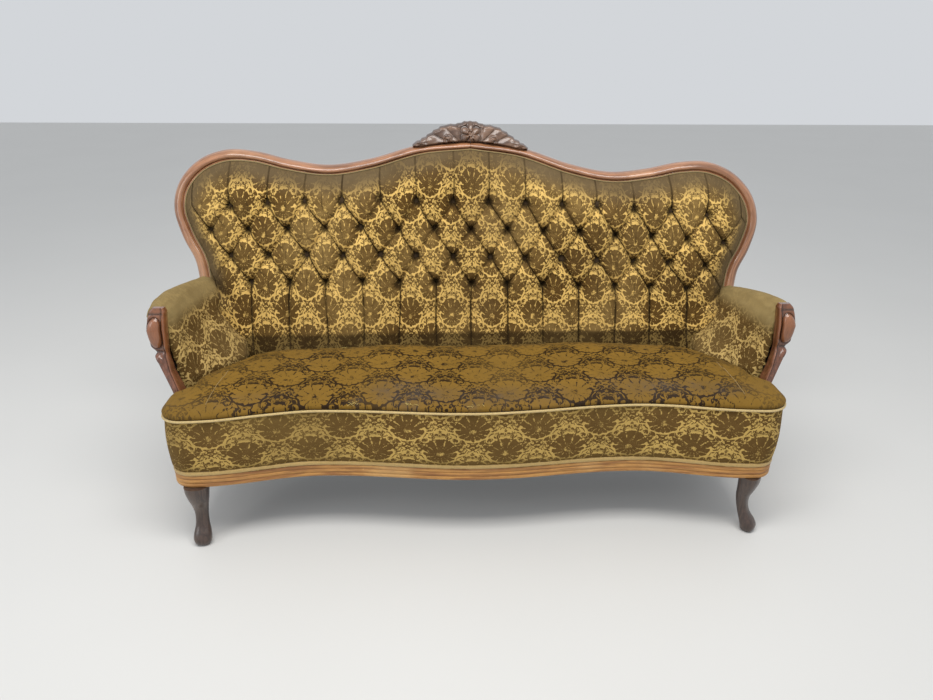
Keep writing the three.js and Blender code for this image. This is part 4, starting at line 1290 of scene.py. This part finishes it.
def build_seat():
    """The seat's cover: a closed, crowned pad with the hollows of long use and a seam near each end."""
    line, inward, run = seat_edge(BORDER_END, 360)
    rear_half, _ = resample(SEAT_REAR, 150)
    rear = np.concatenate([rear_half, (rear_half[:-1] * [-1, 1])[::-1]])
    levels = [
        (0.0005, 0.0, 0.3706), (0.0005, 0.0, 0.3786), (-0.0028, 0.0, 0.3800), (-0.0040, 0.0, 0.3830),
        (-0.0042, 0.0, 0.3865), (-0.0030, 0.002, 0.3900), (0.0, 0.008, 0.3940), (0.002, 0.022, 0.3982),
        (0.003, 0.045, 0.4020),
    ]
    inset = np.linspace(0.075, 0.985, 44)
    levels += [
        (0.004, t, 0.4020 + 0.0130 * math.sin(min(1.0, (t - 0.045) / 0.5) * math.pi / 2))
        for t in inset
    ]
    rings = []
    for push, pull, z in levels:
        rim = line + inward * push
        loop = np.concatenate([rim, rear])
        middle = np.stack([loop[:, 0] * 0.72, np.full(len(loop), 0.225)], -1)
        loop = loop + (middle - loop) * pull
        rings.append(np.concatenate([loop, np.full((len(loop), 1), z)], 1))
    rings = np.array(rings)
    rings[..., 2] += SEAT_LEAN * rings[..., 0]
    rings = points(rings[..., 0], rings[..., 1], rings[..., 2])
    obj = tube("seat_cover", rings, ["seat_pad"])
    co = coords(obj)
    x, y, z = co[:, 0], co[:, 1] - FEET_Y, co[:, 2]
    top = ramp(0.386, 0.402, z)
    hollows = -0.0045 * np.exp(-(((x - 0.02) / 0.22) ** 2)) - 0.0035 * np.exp(-(((x + 0.48) / 0.16) ** 2))
    hollows = hollows - 0.0030 * np.exp(-(((x - 0.50) / 0.17) ** 2))
    lumps = 0.0022 * wobble(x, y, 0.30, 51) + 0.0007 * wobble(x, y, 0.07, 52)
    seams = np.zeros(len(x))
    for side in (-1, 1):
        across = x - side * (0.672 + 0.10 * (0.20 - y) * 0.6)
        seams -= 0.0016 * np.exp(-np.abs(across) / 0.004) * (1 - ramp(0.18, 0.26, y))
    co[:, 2] += top * (hollows + lumps + seams)
    co[:, 2] = np.minimum(co[:, 2], 0.4225)
    set_coords(obj, co)
    shade(obj, 60)
    front = y - front_line(x)
    band = np.exp(-(((front - 0.045) / 0.035) ** 2))
    blotch = clamp01(0.35 + 0.9 * wobble(x, y, 0.42, 53))
    worn = np.zeros(len(x))
    for at, deep, size, amount in RUBBED:
        worn += amount * np.exp(-(((x - at) / size) ** 2) - ((front - deep) / (size * 0.7)) ** 2)
    rub = clamp01(band * blotch * 0.8 + worn + 0.10 * wobble(x, y, 0.25, 54))
    ends = ramp(0.62, 0.80, np.abs(x)) * 0.45
    rear_fade = ramp(0.30, 0.38, y) * 0.2
    lay_cloth(obj, x, y * 1.0 + 0.01, clamp01(ends + rear_fade + 0.12 * wobble(x, y, 0.3, 55)), rub * 0.75)
    seat_velvet.on(obj)
    return obj


def strand(path, radius, sides=5):
    """A thin closed tube along a path of points: its points and faces."""
    path = np.asarray(path, float)
    along = np.gradient(path, axis=0)
    along /= np.linalg.norm(along, axis=1, keepdims=True)
    side = np.cross(along, [0.31, 0.87, 0.38])
    side /= np.linalg.norm(side, axis=1, keepdims=True)
    other = np.cross(side, along)
    ca, cb = circle(radius, sides)
    rings = path[:, None] + side[:, None] * ca[None, :, None] + other[:, None] * cb[None, :, None]
    faces = grid_faces(len(path), sides, around=True)
    faces.append(list(range(sides))[::-1])
    faces.append([(len(path) - 1) * sides + i for i in range(sides)])
    return rings.reshape(-1, 3), faces


def bundle(name, strands, material):
    verts, faces = [], []
    for part_verts, part_faces in strands:
        start = len(verts)
        verts += part_verts.tolist()
        faces += [[i + start for i in face] for face in part_faces]
    obj = piece(name, verts, faces, ())
    face_out(obj)
    shade(obj, 80)
    material.on(obj)
    return obj


def on_seat(seat, x, y):
    """The seat's surface point under a place given from the feet's line."""
    hit, where, _, _ = seat.ray_cast(Vector((x, y + FEET_Y, 1.0)), Vector((0, 0, -1)))
    return np.array(where) if hit else np.array([x, y + FEET_Y, 0.39])


FRAYS = [(-0.315, 0.002, 9), (-0.176, 0.002, 12), (-0.013, 0.002, 8), (-0.372, 0.374, 9)]


def build_threads(seat):
    """The sewn seam near each end of the seat, and pile that has frayed out at its edges."""
    seams = []
    for side in (-1, 1):
        ys = np.linspace(0.030, 0.205, 46)
        path = [on_seat(seat, side * (0.672 + 0.06 * (0.20 - y)), y) + (0, 0, 0.0004) for y in ys]
        seams.append(strand(path, 0.0010))
    bundle("seat_seam_threads", seams, seam_yarn)
    dice = np.random.default_rng(17)
    fibres = []
    for at, deep, count in FRAYS:
        for _ in range(count):
            x = at + dice.normal(0, 0.010)
            y = deep + front_line(x) * (deep < 0.1) + abs(dice.normal(0, 0.003))
            start = on_seat(seat, x, y)
            way = np.array([dice.normal(0, 0.6), dice.normal(-0.2, 0.4), dice.uniform(0.3, 1.0)])
            length = dice.uniform(0.004, 0.011)
            t = np.linspace(0, 1, 6)[:, None]
            bend = np.array([dice.normal(0, 0.4), dice.normal(0, 0.4), -0.5])
            fibres.append(strand(start + way * length * t + bend * length * t**2, 0.0005, 4))
    bundle("frayed_pile", fibres, fray_yarn)


# ---- arms ---------------------------------------------------------------------------------------


def soften(obj, voxel, rounds, cap, pressure=4.0, frames=20):
    """Rounds a stuffed piece, fills it with a short cloth simulation and caps how far it moves."""
    remesh = obj.modifiers.new("remesh", "REMESH")
    remesh.mode = "VOXEL"
    remesh.voxel_size = voxel
    apply_modifiers(obj)
    easing = obj.modifiers.new("smooth", "SMOOTH")
    easing.factor = 0.5
    easing.iterations = rounds
    apply_modifiers(obj)
    start = coords(obj)
    cloth_step = obj.modifiers.new("cloth", "CLOTH")
    settings = cloth_step.settings
    settings.quality = 4
    settings.use_pressure = True
    settings.uniform_pressure_force = pressure
    settings.effector_weights.gravity = 0
    settings.tension_stiffness = 25
    settings.compression_stiffness = 25
    settings.bending_stiffness = 1.5
    cloth_step.collision_settings.use_collision = False
    cloth_step.collision_settings.use_self_collision = False
    cloth_step.point_cache.frame_start = 1
    cloth_step.point_cache.frame_end = frames
    scene = bpy.context.scene
    for number in range(1, frames + 1):
        scene.frame_set(number)
    apply_modifiers(obj)
    scene.frame_set(1)
    moved = coords(obj) - start
    far = np.linalg.norm(moved, axis=1, keepdims=True)
    set_coords(obj, start + moved * np.minimum(1, cap / np.maximum(far, 1e-9)))
    finer = obj.modifiers.new("finer", "SUBSURF")
    finer.levels = 1
    apply_modifiers(obj)
    return obj


def apply_modifiers(obj):
    depsgraph = bpy.context.evaluated_depsgraph_get()
    mesh = bpy.data.meshes.new_from_object(obj.evaluated_get(depsgraph))
    obj.modifiers.clear()
    old = obj.data
    obj.data = mesh
    mesh.name = old.name
    bpy.data.meshes.remove(old)


def build_arms():
    for name, side in (("left", -1), ("right", 1)):
        mesh = nodes[f"arm_pad_{name}"].data.copy()
        obj = bpy.data.objects.new(f"arm_cushion_{name}", mesh)
        bpy.context.scene.collection.objects.link(obj)
        weld(obj)
        soften(obj, 0.0050, 6, 0.004)
        dress(obj, [f"arm_pad_{name}"])
        co = coords(obj)
        x, y, z = np.abs(co[:, 0]), co[:, 1] - FEET_Y, co[:, 2]
        normal = np.empty(len(co) * 3)
        obj.data.vertices.foreach_get("normal", normal)
        normal = normal.reshape(-1, 3)
        facing_in = ramp(0.2, 0.7, -side * normal[:, 0])
        pulls = np.sin((z * 0.9 + y * 0.75) * 105 + 1.4 * wobble(y, z, 0.2, 61))
        co = co + normal * (
            0.0010 * pulls * facing_in * ramp(0.36, 0.42, z) * (1 - ramp(0.53, 0.57, z))
        )[:, None]
        co = co + normal * (0.0009 * wobble(y + x, z, 0.07, 62 + side))[:, None]
        rear = ramp(0.36, 0.45, y)
        high = np.exp(-(((z - 0.545) / 0.045) ** 2))
        co[:, 0] -= side * rear * facing_in * (0.002 + 0.011 * high)
        co[:, 2] += 0.004 * rear * ramp(0.54, 0.56, z)
        set_coords(obj, co)
        shade(obj, 70)
        over = ramp(0.515, 0.560, z + side * 0.012) * 0.85
        fade = clamp01(over + 0.15 * wobble(y, z, 0.2, 63))
        run = (y - 0.15) * 1.25 + (x - 0.78) * -0.8
        # Painted shade where the arm's inner face meets the back; the top of its front end, by the post, is
        # darkened the same way.
        joint_shade = (
            0.8 * ramp(0.43, 0.475, y) * facing_in
            + 0.55 * (1 - ramp(0.118, 0.150, y)) * ramp(0.55, 0.575, z)
        )
        lay_cloth(obj, side * run, z + (x - 0.78) * 0.5, fade, 0.05, joint_shade)
        arm_velvet.on(obj)


def weld(obj):
    bm = bmesh.new()
    bm.from_mesh(obj.data)
    bmesh.ops.remove_doubles(bm, verts=bm.verts, dist=1e-5)
    bm.to_mesh(obj.data)
    bm.free()
    for layer in list(obj.data.uv_layers):
        obj.data.uv_layers.remove(layer)


# ---- covers and what the sofa holds inside ------------------------------------------------------


def stretched_sheet(obj):
    """Works out the sorted spans of a cut of cloth nailed out flat and does nothing with them; half of its
    closed surface is its area.
    """
    spans = np.sort(np.ptp(coords(obj), axis=0))


def refine(name, node, material, rounds, length, push=None):
    """A finer copy of a CAD sheet, cut into small faces and given the sag of stretched cloth."""
    mesh = nodes[node].data.copy()
    obj = bpy.data.objects.new(name, mesh)
    bpy.context.scene.collection.objects.link(obj)
    weld(obj)
    bm = bmesh.new()
    bm.from_mesh(obj.data)
    for _ in range(rounds):
        long = [e for e in bm.edges if e.calc_length() > length]
        if not long:
            break
        bmesh.ops.subdivide_edges(bm, edges=long, cuts=1)
        bmesh.ops.triangulate(bm, faces=[f for f in bm.faces if len(f.verts) > 3])
    bm.to_mesh(obj.data)
    bm.free()
    if push is not None:
        set_coords(obj, push(coords(obj)))
    dress(obj, [node])
    shade(obj, 50)
    material.on(obj)
    return obj


def build_covers():
    outline = pad_outline()

    def back_sag(co):
        slump = 0.004 * wobble(co[:, 0], co[:, 2], 0.5, 71) + 0.0012 * wobble(co[:, 0], co[:, 2], 0.12, 72)
        edge, _, _ = edge_distance(co[:, 0], co[:, 2], outline)
        co[:, 1] += np.abs(slump) * ramp(0.0, 0.08, edge) * 0.8
        return co

    cover = refine("back_cover_cloth", "back_outside_cover", plain_velvet, 7, 0.03, back_sag)
    stretched_sheet(cover)
    for name, side in (("left", -1), ("right", 1)):

        def side_sag(co, side=side):
            co[:, 2] += 0.013 * ramp(0.470, 0.515, co[:, 2])
            co[:, 0] += side * 0.0010 * wobble(co[:, 1], co[:, 2], 0.09, 75)
            return co

        cloth_name = f"arm_cover_cloth_{name}"
        cover = refine(cloth_name, f"arm_outside_{name}", plain_velvet, 6, 0.014, side_sag)
        stretched_sheet(cover)

    def dust_sag(co):
        half = 0.77
        belly = clamp01(1 - (co[:, 0] / half) ** 2) * clamp01(1 - ((co[:, 1] + 0.09) / 0.2) ** 2)
        co[:, 2] -= 0.004 * belly + 0.0015 * np.abs(wobble(co[:, 0], co[:, 1], 0.25, 76)) * belly
        return co

    cover = refine("dust_cover_cloth", "dust_cover", black_cotton, 7, 0.03, dust_sag)
    stretched_sheet(cover)


def dress_hidden():
    for name, node in nodes.items():
        if node.hide_render:
            continue
        if name.startswith("spring_hessian"):
            jute.on(node)
        elif name.startswith("spring_"):
            steel.on(node)
        elif name.startswith("webbing"):
            webbing_jute.on(node)
        elif name.startswith("leg_rear"):
            leg_wood.on(node)
        else:
            beech.on(node)


# ---- building -----------------------------------------------------------------------------------

outline = build_back()
build_buttons(outline)
build_welt()
build_frame()
build_crest()
build_posts()
build_seat_rails()
build_legs()
build_border()
build_trim()
build_piping()
seat = build_seat()
bpy.context.view_layer.update()
build_threads(seat)
build_arms()
build_covers()
dress_hidden()

# ---- floor, light and camera --------------------------------------------------------------------

floor_mesh = bpy.data.meshes.new("floor")
reach = 9.0
corners = [(-reach, -reach, 0), (reach, -reach, 0), (reach, reach, 0), (-reach, reach, 0)]
floor_mesh.from_pydata(corners, [], [(0, 1, 2, 3)])
floor = bpy.data.objects.new("floor", floor_mesh)
bpy.context.scene.collection.objects.link(floor)
floor_paint = Finish("floor_paint")
floor_cloud = floor_paint.noise(floor_paint.place(), 1.5, 2.0)
floor_paint.colour(floor_paint.mix(floor_cloud, (0.655, 0.65, 0.63), (0.625, 0.62, 0.60)))
floor_paint.set(Roughness=0.6)
floor_paint.on(floor)

world = bpy.data.worlds.new("studio")
bpy.context.scene.world = world
world.use_nodes = True
world.node_tree.nodes["Background"].inputs["Color"].default_value = (0.93, 0.96, 1.0, 1.0)
world.node_tree.nodes["Background"].inputs["Strength"].default_value = 0.70


def lamp(name, at, aim, size, energy, colour=(1.0, 1.0, 1.0)):
    data = bpy.data.lights.new(name, "AREA")
    data.shape = "RECTANGLE"
    data.size, data.size_y = size
    data.energy = energy
    data.color = colour
    obj = bpy.data.objects.new(name, data)
    bpy.context.scene.collection.objects.link(obj)
    obj.location = at
    obj.rotation_euler = (Vector(aim) - Vector(at)).to_track_quat("-Z", "Y").to_euler()


lamp("ceiling", (0.0, -0.9, 2.9), (0.0, 0.0, 0.4), (3.0, 1.0), 66, (1.0, 0.98, 0.95))
lamp("left_window", (-3.2, -2.2, 2.0), (0.0, 0.0, 0.5), (1.4, 1.8), 24, (0.97, 0.98, 1.0))

camera_data = bpy.data.cameras.new("camera")
camera_data.sensor_width = 36.0
camera_data.lens = 27.15
camera = bpy.data.objects.new("camera", camera_data)
bpy.context.scene.collection.objects.link(camera)
PITCH, YAW, ROLL = (math.radians(a) for a in (24.39, 2.4, 0.46))
level = Vector((math.sin(YAW), math.cos(YAW), 0))
right = Vector((math.cos(YAW), -math.sin(YAW), 0))
ahead = level * math.cos(PITCH) - Vector((0, 0, math.sin(PITCH)))
above = Vector((0, 0, math.cos(PITCH))) + level * math.sin(PITCH)
cam_x = right * math.cos(ROLL) + above * math.sin(ROLL)
cam_y = above * math.cos(ROLL) - right * math.sin(ROLL)
turned = Matrix((cam_x, cam_y, -ahead)).transposed().to_4x4()
camera.matrix_world = Matrix.Translation((-0.0975, -1.5345 + FEET_Y, 1.2515)) @ turned
bpy.context.scene.camera = camera
bpy.context.scene.view_settings.view_transform = "Standard"
